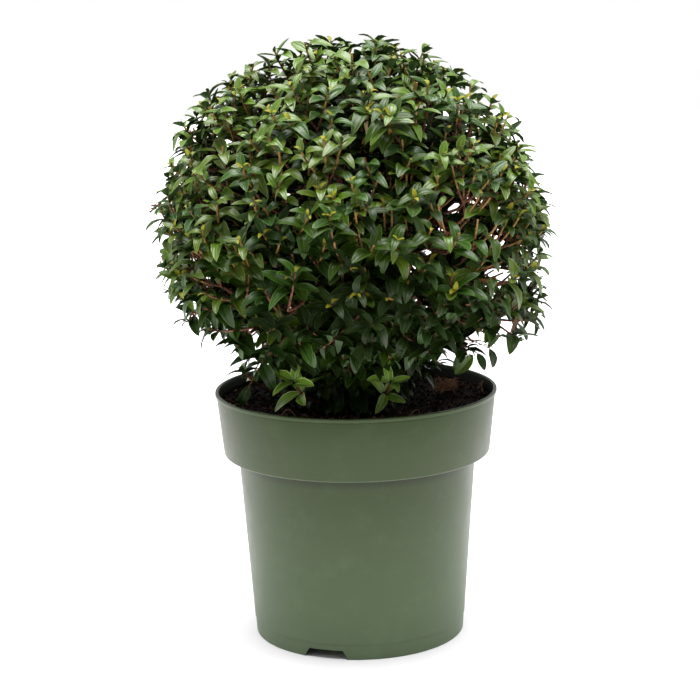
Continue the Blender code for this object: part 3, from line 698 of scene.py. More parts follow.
def bark_tube(path, radii, sides, seed):
    """A closed limb whose bark stands in ridges that run and wander along it."""
    bm = bmesh.new()
    rings = []
    travelled = 0
    side = perpendicular((path[1] - path[0]).normalized())
    for k, (point, radius) in enumerate(zip(path, radii)):
        travelled += (point - path[k - 1]).length if k else 0
        ahead = (path[min(k + 1, len(path) - 1)] - path[max(k - 1, 0)]).normalized()
        side = (side - ahead * side.dot(ahead)).normalized()
        other = ahead.cross(side)
        ring = []
        for n in range(sides):
            turn = math.tau * n / sides
            ridge = Vector((math.cos(turn), math.sin(turn), 0)) * BARK_RIDGES / 2
            ridge.z = travelled / BARK_RIDGE_LENGTH
            height = radius * (1 + BARK_RELIEF * noise.fractal(ridge + Vector((seed, 0, 0)), 0.7, 2.0, 3))
            ring.append(bm.verts.new(point + (side * math.cos(turn) + other * math.sin(turn)) * height))
        rings.append(ring)
    for low, high in zip(rings, rings[1:]):
        for n in range(sides):
            bm.faces.new((low[n], low[(n + 1) % sides], high[(n + 1) % sides], high[n]))
    bm.faces.new(rings[0])
    bm.faces.new(rings[-1])
    return bm


# Bark of small-leaved evergreen wood: matte, warm brown, with paler flakes in patches.
BARK_FLAKE = 0.003125
FLAKE_DEPTH = 0.0005
wood_bark, tree, shader = new_material("thin_flaking_bark", "6E4630", Roughness=0.8, Specular_IOR_Level=0.3)
place = object_place(tree)
flakes = {"Vector": place, "Scale": 1 / BARK_FLAKE, "Detail": 5, "Roughness": 0.65}
flakes = add_node(tree, "ShaderNodeTexNoise", flakes)
colours = add_node(tree, "ShaderNodeValToRGB", {"Fac": flakes})
for stop, position, colour in zip(colours.color_ramp.elements, (0.35, 0.7), ("3B2318", "8F5F42")):
    stop.position = position
    stop.color = linear(colour)
relief = add_node(tree, "ShaderNodeBump", {"Strength": 0.6, "Distance": FLAKE_DEPTH, "Height": flakes})
feed(shader, {"Base Color": colours, "Normal": relief})

limbs = [("stem_bark", "main_stem", stem_path(), STEM_DETAIL)]
for number in range(len(BOUGH_AZIMUTHS)):
    names = (f"bough_bark_{number + 1}", f"bough_{number + 1}")
    limbs.append((*names, bough_course(number), BOUGH_DETAIL))
for number, (name, node, (course, radii), (parts, sides)) in enumerate(limbs):
    tube = bark_tube(*finer(course, radii, parts), sides, number + 1)
    limb = new_object(name, mesh_of(tube, name, BARK_EDGE_ANGLE), wood_bark)
    as_piece(limb, "bark", node)


# Twigs. From each limb's end the wood forks on through the crown: inner branches, then shoots that follow a
# golden-angle spiral over the clipped ball and turn up to the light, each with two or three leafy twigs,
# brown at the fork and orange-brown to the tip. The shears stop every twig just under the ball's surface,
# and some have lost their tips.

CROWN_RADIUS = 0.163
# Bumps and hollows of the outline: azimuth, elevation, height and spread in degrees.
CLIP_BUMPS = (
    (180, 45, 0.005, 25),
    (0, -35, 0.010, 20),
    (180, -42, -0.020, 18),
)
OPEN_UNDERSIDE = (
    (-95, -50, -0.026, 17),
    (-50, -48, -0.026, 18),
    (-140, -50, -0.018, 15),
    (5, -52, -0.026, 15),
    (50, -52, -0.020, 20),
    (110, -52, -0.020, 20),
    (180, -50, -0.016, 18),
    (0, -30, 0.008, 14),
)
SKIRT_FOOT_RADIUS = 0.046
SKIRT_FOOT_HEIGHT = 0.190
SKIRT_SLOPE = 0.56
SHOOT_COUNT = 400
SHOOT_LOWEST_ELEVATION = -50
# Rings of shoots round the skirt: elevation, count and offset.
SKIRT_RINGS = ((-52, 15, 0.1), (-58, 13, 0.3), (-64, 11, 0.7), (-70, 9, 0.2), (-76, 6, 0.6))
SHOOT_STRAY = 0.07
SHOOT_REACH = (0.90, 1.0)
THIN_SPOTS = 0.27
THIN_SPOT_SIZE = 0.22
LOW_GAPS = 0.45
INNER_SHOOT_COUNT = 180
INNER_LOWEST_ELEVATION = -18
INNER_SHOOT_REACH = 0.74
# Inner branches: count, share of the crown's reach, radius.
BRANCH_LEVELS = ((34, 0.36, 0.0024), (120, 0.60, 0.0018))
BRANCH_WANDER = 0.012
BRANCH_PULL_SHARE = 0.6
INNER_FORK_BIAS = 0.3
RUN_STEPS = 5
BRANCH_LOWEST_ELEVATION = -60
SHOOT_RADII = (0.00143, 0.0013)
FORK_DEPTH = 0.033
FORK_DEPTH_RANGE = 0.010
TWIG_SPREAD = 34
TWIG_SPREAD_RANGE = 16
TWIG_REACH_BELOW = (0.004, 0.016)
TWIG_LENGTHS = (0.014, 0.040)
TWIG_RADII = (0.0010, 0.0008)
YOUNG_WOOD_RADIUS = 0.00088
YOUNG_WOOD_STEP = 2
TWIG_GROWTH = 0.002
TWIG_TURN = 0.4
YOUNG_WOOD_FROM = -0.1
THIRD_TWIG_SHARE = 0.3
UPWARD_PULL = 0.48
PULL_FROM, PULL_FULL = -0.95, 0.25
CUT_TWIG_SHARE = 0.14
CUT_FROM = 0.0
SPACE_OVER_MIX = 0.0035
SPACE_OVER_RIM = 0.0015
SPACE_IN_RIM = 0.006
RAGGED = 0.007
RAGGED_SIZE = 0.11
HANGING_SHOOTS = 160
HANGING_CENTRE = Vector((-0.012, 0, 0))
HANGING_RADIUS = (0.020, 0.042)
HANGING_FLARE = 0.5
HANGING_TIP = (0.007, 0.050)
HANGING_LENGTH = (0.030, 0.044)
HANGING_FALL = 0.7
HANGING_DROP, HANGING_RUN = 0.85, 0.5
# Where a low shoot stands in front of the hanging ones, they are left out: its x and how far to each side.
FREE_FRONTS = ((-0.049, 0.020), (0.027, 0.016))
FREE_FRONT_FROM = -0.026
# Sprigs that reach down from the crown's underside: tip, length and fall.
SPRIGS = (
    ((-0.092, -0.036, 0.246), 0.034, 0.25),
    ((-0.078, -0.050, 0.228), 0.030, 0.5),
)
GOLDEN_ANGLE = math.pi * (3 - math.sqrt(5))


def crown_reach(direction):
    """How far from the crown's centre the shears let a leaf reach in this direction."""
    reach = CROWN_RADIUS
    if direction.z < 0:
        drop = CROWN_CENTRE.z - SKIRT_FOOT_HEIGHT + SKIRT_SLOPE * SKIRT_FOOT_RADIUS
        level = math.hypot(direction.x, direction.y)
        reach = min(reach, drop / (SKIRT_SLOPE * level - direction.z))
    for azimuth, elevation, height, spread in CLIP_BUMPS + OPEN_UNDERSIDE:
        away = math.degrees(direction.angle(unit_direction(azimuth, elevation)))
        reach += height * math.exp(-((away / spread) ** 2))
    return reach + RAGGED * noise.noise(direction / RAGGED_SIZE)


def depth_inside(point):
    """How far a point is inside the clipped outline, along its line from the crown's centre."""
    offset = point - CROWN_CENTRE
    return crown_reach(offset.normalized()) - offset.length


def clear_of_pot(point):
    """Whether a point is over the mix and either over the rim or well inside it."""
    across = math.hypot(point.x, point.y)
    if point.z < mix_level(across) + SPACE_OVER_MIX:
        return False
    return point.z > POT_HEIGHT + SPACE_OVER_RIM or across < RIM_RADIUS - SPACE_IN_RIM


def in_space(point):
    return depth_inside(point) > 0 and clear_of_pot(point)


def spiral_directions(count, lowest_elevation):
    """Even directions on a golden-angle spiral, from the top down."""
    lowest = math.sin(math.radians(lowest_elevation))
    for k in range(count):
        z = 1 - (1 - lowest) * (k + 0.5) / count
        across = math.sqrt(1 - z * z)
        yield Vector((across * math.cos(GOLDEN_ANGLE * k), across * math.sin(GOLDEN_ANGLE * k), z))


def shoot_places(draw):
    """Each shoot's direction and the share of the crown's reach that it grows to."""
    for way in spiral_directions(SHOOT_COUNT, SHOOT_LOWEST_ELEVATION):
        strayed = way + stray(draw) * SHOOT_STRAY
        reach = draw.uniform(*SHOOT_REACH)
        if draw.random() > LOW_GAPS * max(-way.z, 0) and noise.noise(way / THIN_SPOT_SIZE) > -THIN_SPOTS:
            yield strayed.normalized(), reach
    for elevation, count, offset in SKIRT_RINGS:
        for k in range(count):
            yield unit_direction(360 * (k + offset) / count, elevation), 1.0
    for way in spiral_directions(INNER_SHOOT_COUNT, INNER_LOWEST_ELEVATION):
        yield way, INNER_SHOOT_REACH


class Wood:
    """Runs of points with a thickness at each, which become tubes of one kind of wood."""

    def __init__(self):
        self.points, self.edges, self.thickness = [], [], []

    def add(self, path, radii):
        first, last = len(self.points), len(path) - 1
        self.points += [tuple(point) for point in path]
        self.thickness += [radii[0] + (radii[1] - radii[0]) * k / last for k in range(last + 1)]
        self.edges += [(first + k, first + k + 1) for k in range(last)]


def nearest(places, point):
    """The fork that is nearest to a point, with a leaning to the inner ones."""

    def distance(place):
        return (place[0] - point).length + INNER_FORK_BIAS * (place[0] - CROWN_CENTRE).length

    return min(places, key=distance)


def grow_from_nearest(places, end, end_aim, wood, radii):
    """One run of wood that leaves the nearest fork along its own way and arrives at its end."""
    start, aim = nearest(places, end)
    leaving = (aim + (end - start).normalized()).normalized()
    wood.add(curve_between(start, leaving, end, end_aim, RUN_STEPS), radii)


def stray(draw):
    """A random offset inside a cube of side 2."""
    return Vector([draw.uniform(-1, 1) for _ in range(3)])


def turned_up(way, pull):
    """A direction bent towards the light, the less the lower it is on the ball."""
    share = clamped((way.z - PULL_FROM) / (PULL_FULL - PULL_FROM)) * pull
    return (way * (1 - share) + UP * share).normalized()


branches, shoots, twigs = Wood(), Wood(), Wood()
draw = random.Random(SEED)
forks = []
for path, _ in [stem_path()] + [bough_course(k) for k in range(len(BOUGH_AZIMUTHS))]:
    forks.append((path[-1], (path[-1] - path[-2]).normalized()))
thick = BOUGH_TIP_RADIUS
for count, share, radius in BRANCH_LEVELS:
    grown_forks = []
    for way in spiral_directions(count, BRANCH_LOWEST_ELEVATION):
        end = CROWN_CENTRE + way * crown_reach(way) * share + stray(draw) * BRANCH_WANDER
        aim = turned_up(way, UPWARD_PULL * BRANCH_PULL_SHARE)
        grow_from_nearest(forks, end, aim, branches, (thick, radius))
        grown_forks.append((end, aim))
    forks = forks + grown_forks
    thick = radius


def grow_twig(fork, axis, draw):
    """One twig's path from its fork to where the shears stopped it, or nothing if there is no room."""
    stop = draw.uniform(*TWIG_REACH_BELOW)
    aim = turned_up(axis, UPWARD_PULL)
    longest, path = TWIG_LENGTHS[0], None
    while longest <= TWIG_LENGTHS[1]:
        tip = fork + (axis * (1 - TWIG_TURN) + aim * TWIG_TURN) * longest
        if depth_inside(tip) < stop or not clear_of_pot(tip):
            break
        path = curve_between(fork, axis, tip, aim, RUN_STEPS)
        longest += TWIG_GROWTH
    return path


def grow_shoot(way, share, draw):
    """A shoot that forks under the ball's surface; returns the paths of its twigs."""
    aim = turned_up(way, UPWARD_PULL)
    reach = CROWN_CENTRE + way * crown_reach(way) * share
    fork = reach - aim * (FORK_DEPTH + draw.uniform(-FORK_DEPTH_RANGE, FORK_DEPTH_RANGE))
    if not in_space(fork):
        return []
    paths = []
    across = Matrix.Rotation(draw.uniform(0, math.pi), 3, aim) @ perpendicular(aim)
    for hand in (-1, 1, 0) if draw.random() < THIRD_TWIG_SHARE else (-1, 1):
        spread = hand * math.radians(TWIG_SPREAD + draw.uniform(-TWIG_SPREAD_RANGE, TWIG_SPREAD_RANGE))
        path = grow_twig(fork, aim * math.cos(spread) + across * math.sin(spread), draw)
        if path:
            paths.append(path)
            if way.z < YOUNG_WOOD_FROM:
                shoots.add(path, TWIG_RADII)
            else:
                shoots.add(path[: YOUNG_WOOD_STEP + 1], (TWIG_RADII[0], YOUNG_WOOD_RADIUS))
                twigs.add(path[YOUNG_WOOD_STEP:], (YOUNG_WOOD_RADIUS, TWIG_RADII[1]))
    if paths:
        grow_from_nearest(forks, fork, aim, shoots, SHOOT_RADII)
    return paths


WHOLE, CUT, INNER, HANGING = range(4)
sprays = []
for number, (way, share) in enumerate(shoot_places(draw)):
    own_draw = random.Random(f"{SEED} shoot {number}")
    for path in grow_shoot(way, share, own_draw):
        cut = own_draw.random() < CUT_TWIG_SHARE and way.z > CUT_FROM
        kind = INNER if share < SHOOT_REACH[0] else CUT if cut else WHOLE
        sprays.append((path, kind))

# Shoots that hang round the stem down to the mix, and sprigs that droop from the underside.
hanging = [(Vector(tip), length, fall) for tip, length, fall in SPRIGS]
for k in range(HANGING_SHOOTS):
    height = draw.uniform(*HANGING_TIP)
    reach = draw.uniform(*HANGING_RADIUS) + HANGING_FLARE * height
    tip = HANGING_CENTRE + unit_direction(math.degrees(GOLDEN_ANGLE * k), 0) * reach
    tip.z = mix_level(math.hypot(tip.x, tip.y)) + height
    length = draw.uniform(*HANGING_LENGTH)
    in_front = any(abs(tip.x - x) < side for x, side in FREE_FRONTS) and tip.y < FREE_FRONT_FROM
    if not in_front:
        hanging.append((tip, length, HANGING_FALL))
for tip, length, fall in hanging:
    out = outward_from_axis(tip)
    start = tip + UP * length * HANGING_DROP - out * length * HANGING_RUN
    path = curve_between(start, out, tip, (out - UP * fall).normalized(), RUN_STEPS + 1)
    shoots.add(path, TWIG_RADII)
    grow_from_nearest(forks, start, out, shoots, SHOOT_RADII)
    sprays.append((path, HANGING))

# A tree turns each run of edges into a tube of its own thickness, capped at both ends.
tubes, given, result = new_tree("wood_tubes", ("Sides", "Int", 6), ("Finish", "Material", None))
run = add_node(tubes, "GeometryNodeMeshToCurve", {"Mesh": given.outputs["Geometry"]})
profile = {"Resolution": given.outputs["Sides"], "Radius": 1.0}
profile = add_node(tubes, "GeometryNodeCurvePrimitiveCircle", profile)
thickness = add_node(tubes, "GeometryNodeInputNamedAttribute", {"Name": "thickness"}, data_type="FLOAT")
swept = {"Curve": run, "Profile Curve": profile, "Scale": thickness, "Fill Caps": True}
swept = add_node(tubes, "GeometryNodeCurveToMesh", swept)
end_tree(add_node(tubes, "GeometryNodeSetShadeSmooth", {"Geometry": swept}), given, result)

# Young wood: smooth thin bark, orange-brown, with darker specks.
SHOOT_SHADES = ("5E3E18", "AE843A")
shoot_bark = mottled_material("young_orange_bark", "9A6638", SHOOT_SHADES, roughness=0.55, grain=0.002857)


def wood_piece(name, wood, finish, sides, slot, *nodes):
    """Tubes of one kind of wood, as a finished piece."""
    mesh = bpy.data.meshes.new(name)
    mesh.from_pydata(wood.points, wood.edges, [])
    thickness = mesh.attributes.new("thickness", "FLOAT", "POINT")
    thickness.data.foreach_set("value", wood.thickness)
    as_piece(grown(new_object(name, mesh), tubes, sides=sides, finish=finish), slot, *nodes)


wood_piece("inner_branches", branches, wood_bark, 7, "bark")
wood_piece("crown_shoots", shoots, wood_bark, 6, "bark")
wood_piece("leafy_twigs", twigs, shoot_bark, 6, "bark")


# Leaves. Small evergreen blades in opposite pairs, each pair a right angle from the one below, glossy above
# and duller below, with a midrib and margins paler than the blade; the youngest stand in a tuft at the tip.

LEAF_LENGTH = 0.0212
LEAF_WIDTH_SHARE = 0.46
LEAF_WIDEST = 0.45
# Powers that fill out the blade below its widest place and above it.
LEAF_FULLNESS = (0.8, 0.64)
LEAF_ARCH = 0.35
LEAF_FOLD = 0.16
LEAF_THICKNESS = 0.013
RIB_WIDTH = 0.027
RIB_TAPER = 1.3
MARGIN_WIDTH = 0.05
# Of the blade's half width: what the midrib takes at most, and where the margin starts at least.
RIB_AT_MOST, MARGIN_FROM_AT_LEAST = 0.4, 0.6
LEAST_HALF_WIDTH = 0.02
LEAF_EDGE_ANGLE = 50
# Each pair of leaves from the tip down: depth, angle from the twig, size and share that grows.
PAIR_DEPTHS = (0.0006, 0.0030, 0.0078, 0.0134, 0.0196, 0.0265)
PAIR_ANGLES = (40, 60, 72, 80, 86, 90)
PAIR_SIZES = (0.34, 0.76, 1.0, 1.05, 1.0, 0.95)
PAIR_SHARES = (0.9, 1.0, 1.0, 1.0, 0.95, 0.85)
PAIR_DEPTH_RANGE = (0.9, 1.1)
PAIR_ANGLE_RANGE = 16
PAIR_TURN_RANGE = 24
LEAF_SIZE_RANGE = (0.82, 1.12)
SPRAY_SIZE_RANGE = (0.82, 1.12)
LEAF_SPACING = 0.0031
# Shares of a leaf's length at which its spacing, the gaps and the outline are looked at.
SPACED_AT = (0.45, 0.85)
GAPPED_AT = (0.1, 0.5, 0.9)
BENT_AT = (0.5, 1.0)
LIGHTWARD_FACE = 0.8
OUTWARD_FACE = 0.55
TIPWARD_FACE = 0.5
OVERHANG = 0.006
SPRIG_OVERHANG = 0.025
BEND_BACK = 0.35
BEND_TRIES = 4
HANG_FROM = 0.25
HANG = 0.12
LIFT = 0.10
TURNED_LEVEL = 0.45
SHADE_GROWTH = 0.28
# The camera: what it aims at, how far off it stands and how high.
CAMERA_AIM = Vector((-0.0042, 0, 0.234))
CAMERA_DISTANCE = 1.537
CAMERA_ELEVATION = math.radians(11.23)
CAMERA_BACK = Vector((0, -math.cos(CAMERA_ELEVATION), math.sin(CAMERA_ELEVATION)))
CAMERA_PLACE = CAMERA_AIM + CAMERA_BACK * CAMERA_DISTANCE
# Gaps cut through the leaves along the camera's lines of sight, so they show the pale room from the front
# only. Each is the x and z where its line crosses the plant's middle plane, and its radius.
GAPS = (
    (0.072, 0.334, 0.0026), (0.077, 0.352, 0.0026), (0.087, 0.347, 0.0030), (0.095, 0.352, 0.0030),
    (0.087, 0.328, 0.0026), (0.104, 0.350, 0.0026), (0.113, 0.328, 0.0036), (0.119, 0.320, 0.0030),
    (0.110, 0.296, 0.0036), (0.121, 0.293, 0.0030), (0.060, 0.312, 0.0022), (0.095, 0.243, 0.0034),
    (0.122, 0.252, 0.0034), (0.046, 0.301, 0.0022), (-0.084, 0.250, 0.0030), (-0.118, 0.288, 0.0022),
    (-0.130, 0.312, 0.0022), (-0.052, 0.268, 0.0018),
)
GAP_EDGE = 0.0024
SPRIG_SAG = -0.35
LEAF_STATIONS = (0.0, 0.08, 0.26, 0.5, 0.74, 0.91, 1.0)
INNER_STATIONS = (0.0, 0.2, 0.5, 0.8, 1.0)
# Each form's droop, breadth and sideways bend.
LEAF_FORMS = (
    (0.18, 1.0, 0.0),
    (0.28, 1.05, 0.05),
    (0.38, 0.96, -0.05),
    (0.50, 0.94, 0.03),
    (0.06, 1.0, -0.03),
    (0.14, 0.84, 0.05),
    (0.26, 0.80, -0.04),
)
INNER_FORMS = ((0.10, 1.0, 0.04), (0.30, 0.9, -0.04))
CURLED_FORM = (1.25, 0.8, 0.15)
DRY_SIZE = 0.5
CLIPPED_FORMS = ((0.10, 1.0, 0.0), (0.30, 0.9, 0.04))
CLIPPED_STATIONS = (0.0, 0.08, 0.26, 0.44, 0.6)
CLIPPED_SHARE = 0.16
# Tones run from dark to light with a spray's place, as painted light: lighter high on the ball and out to
# its left and right, darker low and in the middle, with a random spread. The youngest leaves have their own,
# and the inner sprays take their own darkest ones as painted shade.
TONES = 6
TONE_MIDDLE = 1.4
TONE_PAINTED_LIGHT_RISE = 3.6
TONE_PAINTED_LIGHT_SIDE_RISE = 3.1
TONE_SPREAD = 1.35
LOWEST_TONE_HEIGHT = -0.32
YOUNG_TONE = 6
YOUNG_FROM = -0.2
INNER_PAINTED_SHADE_TONES = (7, 8)
UPPER, UNDER, RIB = 0, 1, 2


def half_width(t):
    """Half the blade's width at a share of its length, for a width of 1: full, with a short point."""
    bend = math.log(0.5) / math.log(LEAF_WIDEST)
    return 0.5 * math.sin(math.pi * t**bend) ** LEAF_FULLNESS[t >= LEAF_WIDEST]


def leaf_form(name, droop, breadth, bend, stations):
    """One closed unit blade along +Y with its face to +Z: margins, two halves and a midrib over two halves.

    Stations that end short of 1 make a leaf that the shears cut across.
    """
    bm = bmesh.new()
    side_of = bm.faces.layers.int.new("leaf_side")
    blade_map = bm.loops.layers.uv.new("blade")
    rows = []
    for t in stations:
        arch = LEAF_ARCH * abs(droop) * math.sin(math.pi * t) - droop * t * t
        middle = bend * math.sin(math.pi * t)
        reach = t * (1 - LEAF_ARCH * abs(droop) * t)
        if t in (0.0, 1.0):
            rows.append([bm.verts.new((middle, reach, arch))])
            continue
        width = half_width(t) * LEAF_WIDTH_SHARE * breadth
        rib = min(RIB_WIDTH * LEAF_WIDTH_SHARE * (RIB_TAPER - t), width * RIB_AT_MOST)
        inner = max(width - MARGIN_WIDTH * LEAF_WIDTH_SHARE, width * MARGIN_FROM_AT_LEAST)
        edges = [(width, 2 * LEAF_FOLD * width), (inner, 2 * LEAF_FOLD * inner), (rib, 0)]
        across = [(-x, arch + up) for x, up in edges] + [(x, arch + up) for x, up in reversed(edges)]
        across.append((0, arch - LEAF_THICKNESS))
        rows.append([bm.verts.new((middle + x, reach, z)) for x, z in across])
    for low, high in zip(rows, rows[1:]):
        for a, kind in enumerate((RIB, UPPER, RIB, UPPER, RIB, UNDER, UNDER)):
            b = (a + 1) % 7
            corners = [low[min(a, len(low) - 1)], low[min(b, len(low) - 1)]]
            corners += [high[min(b, len(high) - 1)], high[min(a, len(high) - 1)]]
            face = bm.faces.new(list(dict.fromkeys(corners)))
            face[side_of] = kind
    if len(rows[-1]) > 1:
        bm.faces.new(rows[-1])[side_of] = UNDER
    for face in bm.faces:
        for loop in face.loops:
            t = loop.vert.co.y
            width = max(half_width(min(t, 1.0)), LEAST_HALF_WIDTH) * LEAF_WIDTH_SHARE * breadth
            middle = bend * math.sin(math.pi * t)
            loop[blade_map].uv = (0.5 + 0.5 * (loop.vert.co.x - middle) / width, t)
    return bpy.data.objects.new(name, mesh_of(bm, name, LEAF_EDGE_ANGLE))


leaf_forms = bpy.data.collections.new("leaf_forms")
FIRST_INNER = len(LEAF_FORMS)
FIRST_CLIPPED = FIRST_INNER + len(INNER_FORMS)
CURLED = FIRST_CLIPPED + len(CLIPPED_FORMS)
all_forms = [(shape, LEAF_STATIONS) for shape in LEAF_FORMS]
all_forms += [(shape, INNER_STATIONS) for shape in INNER_FORMS]
all_forms += [(shape, CLIPPED_STATIONS) for shape in CLIPPED_FORMS]
all_forms.append((CURLED_FORM, LEAF_STATIONS))
for number, (shape, stations) in enumerate(all_forms):
    leaf_forms.objects.link(leaf_form(f"leaf_form_{number:02}", *shape, stations))


# A leaf is its root, way, face, length and form; each tone has a list of its own.
leaves = [[] for _ in range(TONES + 1 + len(INNER_PAINTED_SHADE_TONES))]
taken = {}


def crowded(points):
    """True where a leaf with these points would crowd one that is there; else it takes its place."""
    cells = [tuple(math.floor(value / LEAF_SPACING) for value in point) for point in points]
    for point, (x, y, z) in zip(points, cells):
        for a in (-1, 0, 1):
            for b in (-1, 0, 1):
                for c in (-1, 0, 1):
                    for other in taken.get((x + a, y + b, z + c), ()):
                        if (other - point).length < LEAF_SPACING:
                            return True
    for point, cell in zip(points, cells):
        taken.setdefault(cell, []).append(point)
    return False


def bent_inside(root, way, length, overhang):
    """A leaf's way, bent back by steps until it keeps to the crown's space, or nothing."""
    inward = (CROWN_CENTRE - root).normalized()
    for _ in range(BEND_TRIES):
        ends = [root + way * length * share for share in BENT_AT]
        if not all(clear_of_pot(end) for end in ends):
            way = (way + UP * BEND_BACK).normalized()
        elif not all(depth_inside(end) > -overhang for end in ends):
            way = (way + inward * BEND_BACK).normalized()
        else:
            return way
    return None


def in_gap(points):
    """True where one of these points is too near a gap's line of sight."""
    for x, z, radius in GAPS:
        ray = (Vector((x, 0, z)) - CAMERA_PLACE).normalized()
        for point in points:
            if (point - CAMERA_PLACE).cross(ray).length < radius + GAP_EDGE:
                return True
    return False


def along_path(path, back_from_tip):
    """The point at a distance back from a path's tip, and the path's way there."""
    left = back_from_tip
    for k in range(len(path) - 1, 0, -1):
        step = (path[k] - path[k - 1]).length
        if left <= step:
            return path[k].lerp(path[k - 1], left / step), (path[k] - path[k - 1]) / step
        left -= step
    return None


for number, (path, kind) in enumerate(sprays):
    draw = random.Random(f"{SEED} spray {number}")
    turn = draw.uniform(0, math.pi)
    height = (path[-1].z - CROWN_CENTRE.z) / CROWN_RADIUS
    # A spray's tone is painted light: it rises with height and out to the sides, with a random spread.
    tone = TONE_MIDDLE + TONE_PAINTED_LIGHT_RISE * max(height, LOWEST_TONE_HEIGHT) + draw.gauss(0, TONE_SPREAD)
    tone += TONE_PAINTED_LIGHT_SIDE_RISE * (path[-1].x / CROWN_RADIUS) ** 2
    tone = clamped(round(tone), 0, TONES - 1)
    vigour = draw.uniform(*SPRAY_SIZE_RANGE) * (1 + SHADE_GROWTH * max(-height, 0))
    hang = clamped((-height - HANG_FROM) / (1 - HANG_FROM)) * HANG
    for pair, depth in enumerate(PAIR_DEPTHS):
        if kind == CUT and pair < 2:
            continue
        spot = along_path(path, depth * draw.uniform(*PAIR_DEPTH_RANGE))
        if spot is None:
            break
        point, axis = spot
        side = perpendicular(axis)
        for opposite in range(2):
            if draw.random() > PAIR_SHARES[pair]:
                continue
            angle = turn + pair * math.pi / 2 + opposite * math.pi
            angle += math.radians(draw.uniform(-PAIR_TURN_RANGE, PAIR_TURN_RANGE))
            swing = Matrix.Rotation(angle, 3, axis) @ side
            lean = math.radians(PAIR_ANGLES[pair] + draw.uniform(-PAIR_ANGLE_RANGE, PAIR_ANGLE_RANGE))
            sag = SPRIG_SAG if kind == HANGING else LIFT - hang * min(pair, 2) / 2
            way = axis * math.cos(lean) + swing * math.sin(lean)
            if kind != HANGING and way.z < 0:
                way.z *= TURNED_LEVEL
            way = (way + UP * sag).normalized()
            to_light = (outward_from_axis(point) * OUTWARD_FACE + UP).normalized()
            face = axis * max(axis.z, 0) * TIPWARD_FACE + to_light * LIGHTWARD_FACE
            length = LEAF_LENGTH * vigour * PAIR_SIZES[pair] * draw.uniform(*LEAF_SIZE_RANGE)
            spray_tone = tone if pair or height < YOUNG_FROM else YOUNG_TONE
            # Inner sprays take the darkest tones, as painted shade.
            if kind == INNER:
                spray_tone = INNER_PAINTED_SHADE_TONES[number % 2]
            form = draw.randrange(len(LEAF_FORMS))
            if kind == INNER:
                form = FIRST_INNER + form % len(INNER_FORMS)
            elif depth_inside(point + way * length) < 0 and draw.random() < CLIPPED_SHARE:
                form = FIRST_CLIPPED + form % len(CLIPPED_FORMS)
            way = bent_inside(point, way, length, SPRIG_OVERHANG if kind == HANGING else OVERHANG)
            if not way or in_gap([point + way * length * share for share in GAPPED_AT]):
                continue
            if not crowded([point + way * length * share for share in SPACED_AT]):
                leaves[spray_tone].append((point, way, face, length, form))

# Single leaves that hang free below the crown and by the rim: root, tip, tone and form.
LONE_LEAVES = (
    ((0.0954, -0.010, 0.2303), (0.0800, -0.012, 0.2145), 5, 4),
    ((0.0987, -0.010, 0.2315), (0.1050, -0.013, 0.2173), 1, 4),
    ((0.1085, -0.010, 0.2352), (0.1132, -0.012, 0.2173), 0, 6),
    ((0.0889, -0.010, 0.2320), (0.0808, -0.014, 0.2246), 3, 5),
    ((-0.0845, -0.045, 0.2160), (-0.0960, -0.050, 0.1975), 1, 6),
)
LONE_FACE = Vector((0.2, -1, 0.4))
for root, tip, tone, form in LONE_LEAVES:
    span = Vector(tip) - Vector(root)
    leaves[tone].append((Vector(root), span.normalized(), LONE_FACE, span.length, form))

# A few leaves have died where they hang: the nearest of the crown's to each of these spots.
DRY_SPOTS = {
    "cream": ((0.015, -0.122, 0.434), (-0.075, -0.120, 0.370)),
    "tan": (
        (-0.158, -0.020, 0.322),
        (-0.136, -0.040, 0.270),
        (-0.145, -0.040, 0.290),
        (0.120, -0.060, 0.265),
    ),
}
dry_leaves = {shade: [] for shade in DRY_SPOTS}
for shade, spots in DRY_SPOTS.items():
    for spot in map(Vector, spots):
        crown = [leaf for kind in leaves[:TONES] for leaf in kind]
        dying = min(crown, key=lambda leaf: (leaf[0] + leaf[1] * leaf[3] - spot).length)
        root, way, face, length, _ = dying
        dry_leaves[shade].append((root, way, face, length * DRY_SIZE, CURLED))
        for kind in leaves[:TONES]:
            if dying in kind:
                kind.remove(dying)

# A tree sets a leaf on each point, turned along its own way with its face to the light.
foliage, given, result = new_tree(
    "leaves_in_place",
    ("Forms", "Collection", None),
    ("Upper", "Material", None),
    ("Under", "Material", None),
    ("Rib", "Material", None),
)
LEAF_FIELDS = (
    ("way", "FLOAT_VECTOR", "vector"),
    ("face", "FLOAT_VECTOR", "vector"),
    ("size", "FLOAT", "value"),
    ("form", "INT", "value"),
)
read = {}
for label, data_type, _ in LEAF_FIELDS:
    read[label] = add_node(foliage, "GeometryNodeInputNamedAttribute", {"Name": label}, data_type=data_type)
axes = {"Primary Axis": read["way"], "Secondary Axis": read["face"]}
rotation = add_node(foliage, "FunctionNodeAxesToRotation", axes, primary_axis="Y", secondary_axis="Z")
forms = {"Collection": given.outputs["Forms"], "Separate Children": True, "Reset Children": True}
forms = add_node(foliage, "GeometryNodeCollectionInfo", forms)
placed = {"Points": given.outputs["Geometry"], "Instance": forms, "Pick Instance": True}
placed |= {"Instance Index": read["form"], "Rotation": rotation, "Scale": read["size"]}
placed = add_node(foliage, "GeometryNodeInstanceOnPoints", placed)
finished = add_node(foliage, "GeometryNodeRealizeInstances", {"Geometry": placed})
side_of = add_node(foliage, "GeometryNodeInputNamedAttribute", {"Name": "leaf_side"}, data_type="INT")
for label, kind in (("Upper", UPPER), ("Under", UNDER), ("Rib", RIB)):
    is_side = {"A": side_of, "B": kind}
    is_side = add_node(foliage, "FunctionNodeCompare", is_side, data_type="INT", operation="EQUAL")
    coat = {"Geometry": finished, "Selection": is_side, "Material": given.outputs[label]}
    finished = add_node(foliage, "GeometryNodeSetMaterial", coat)
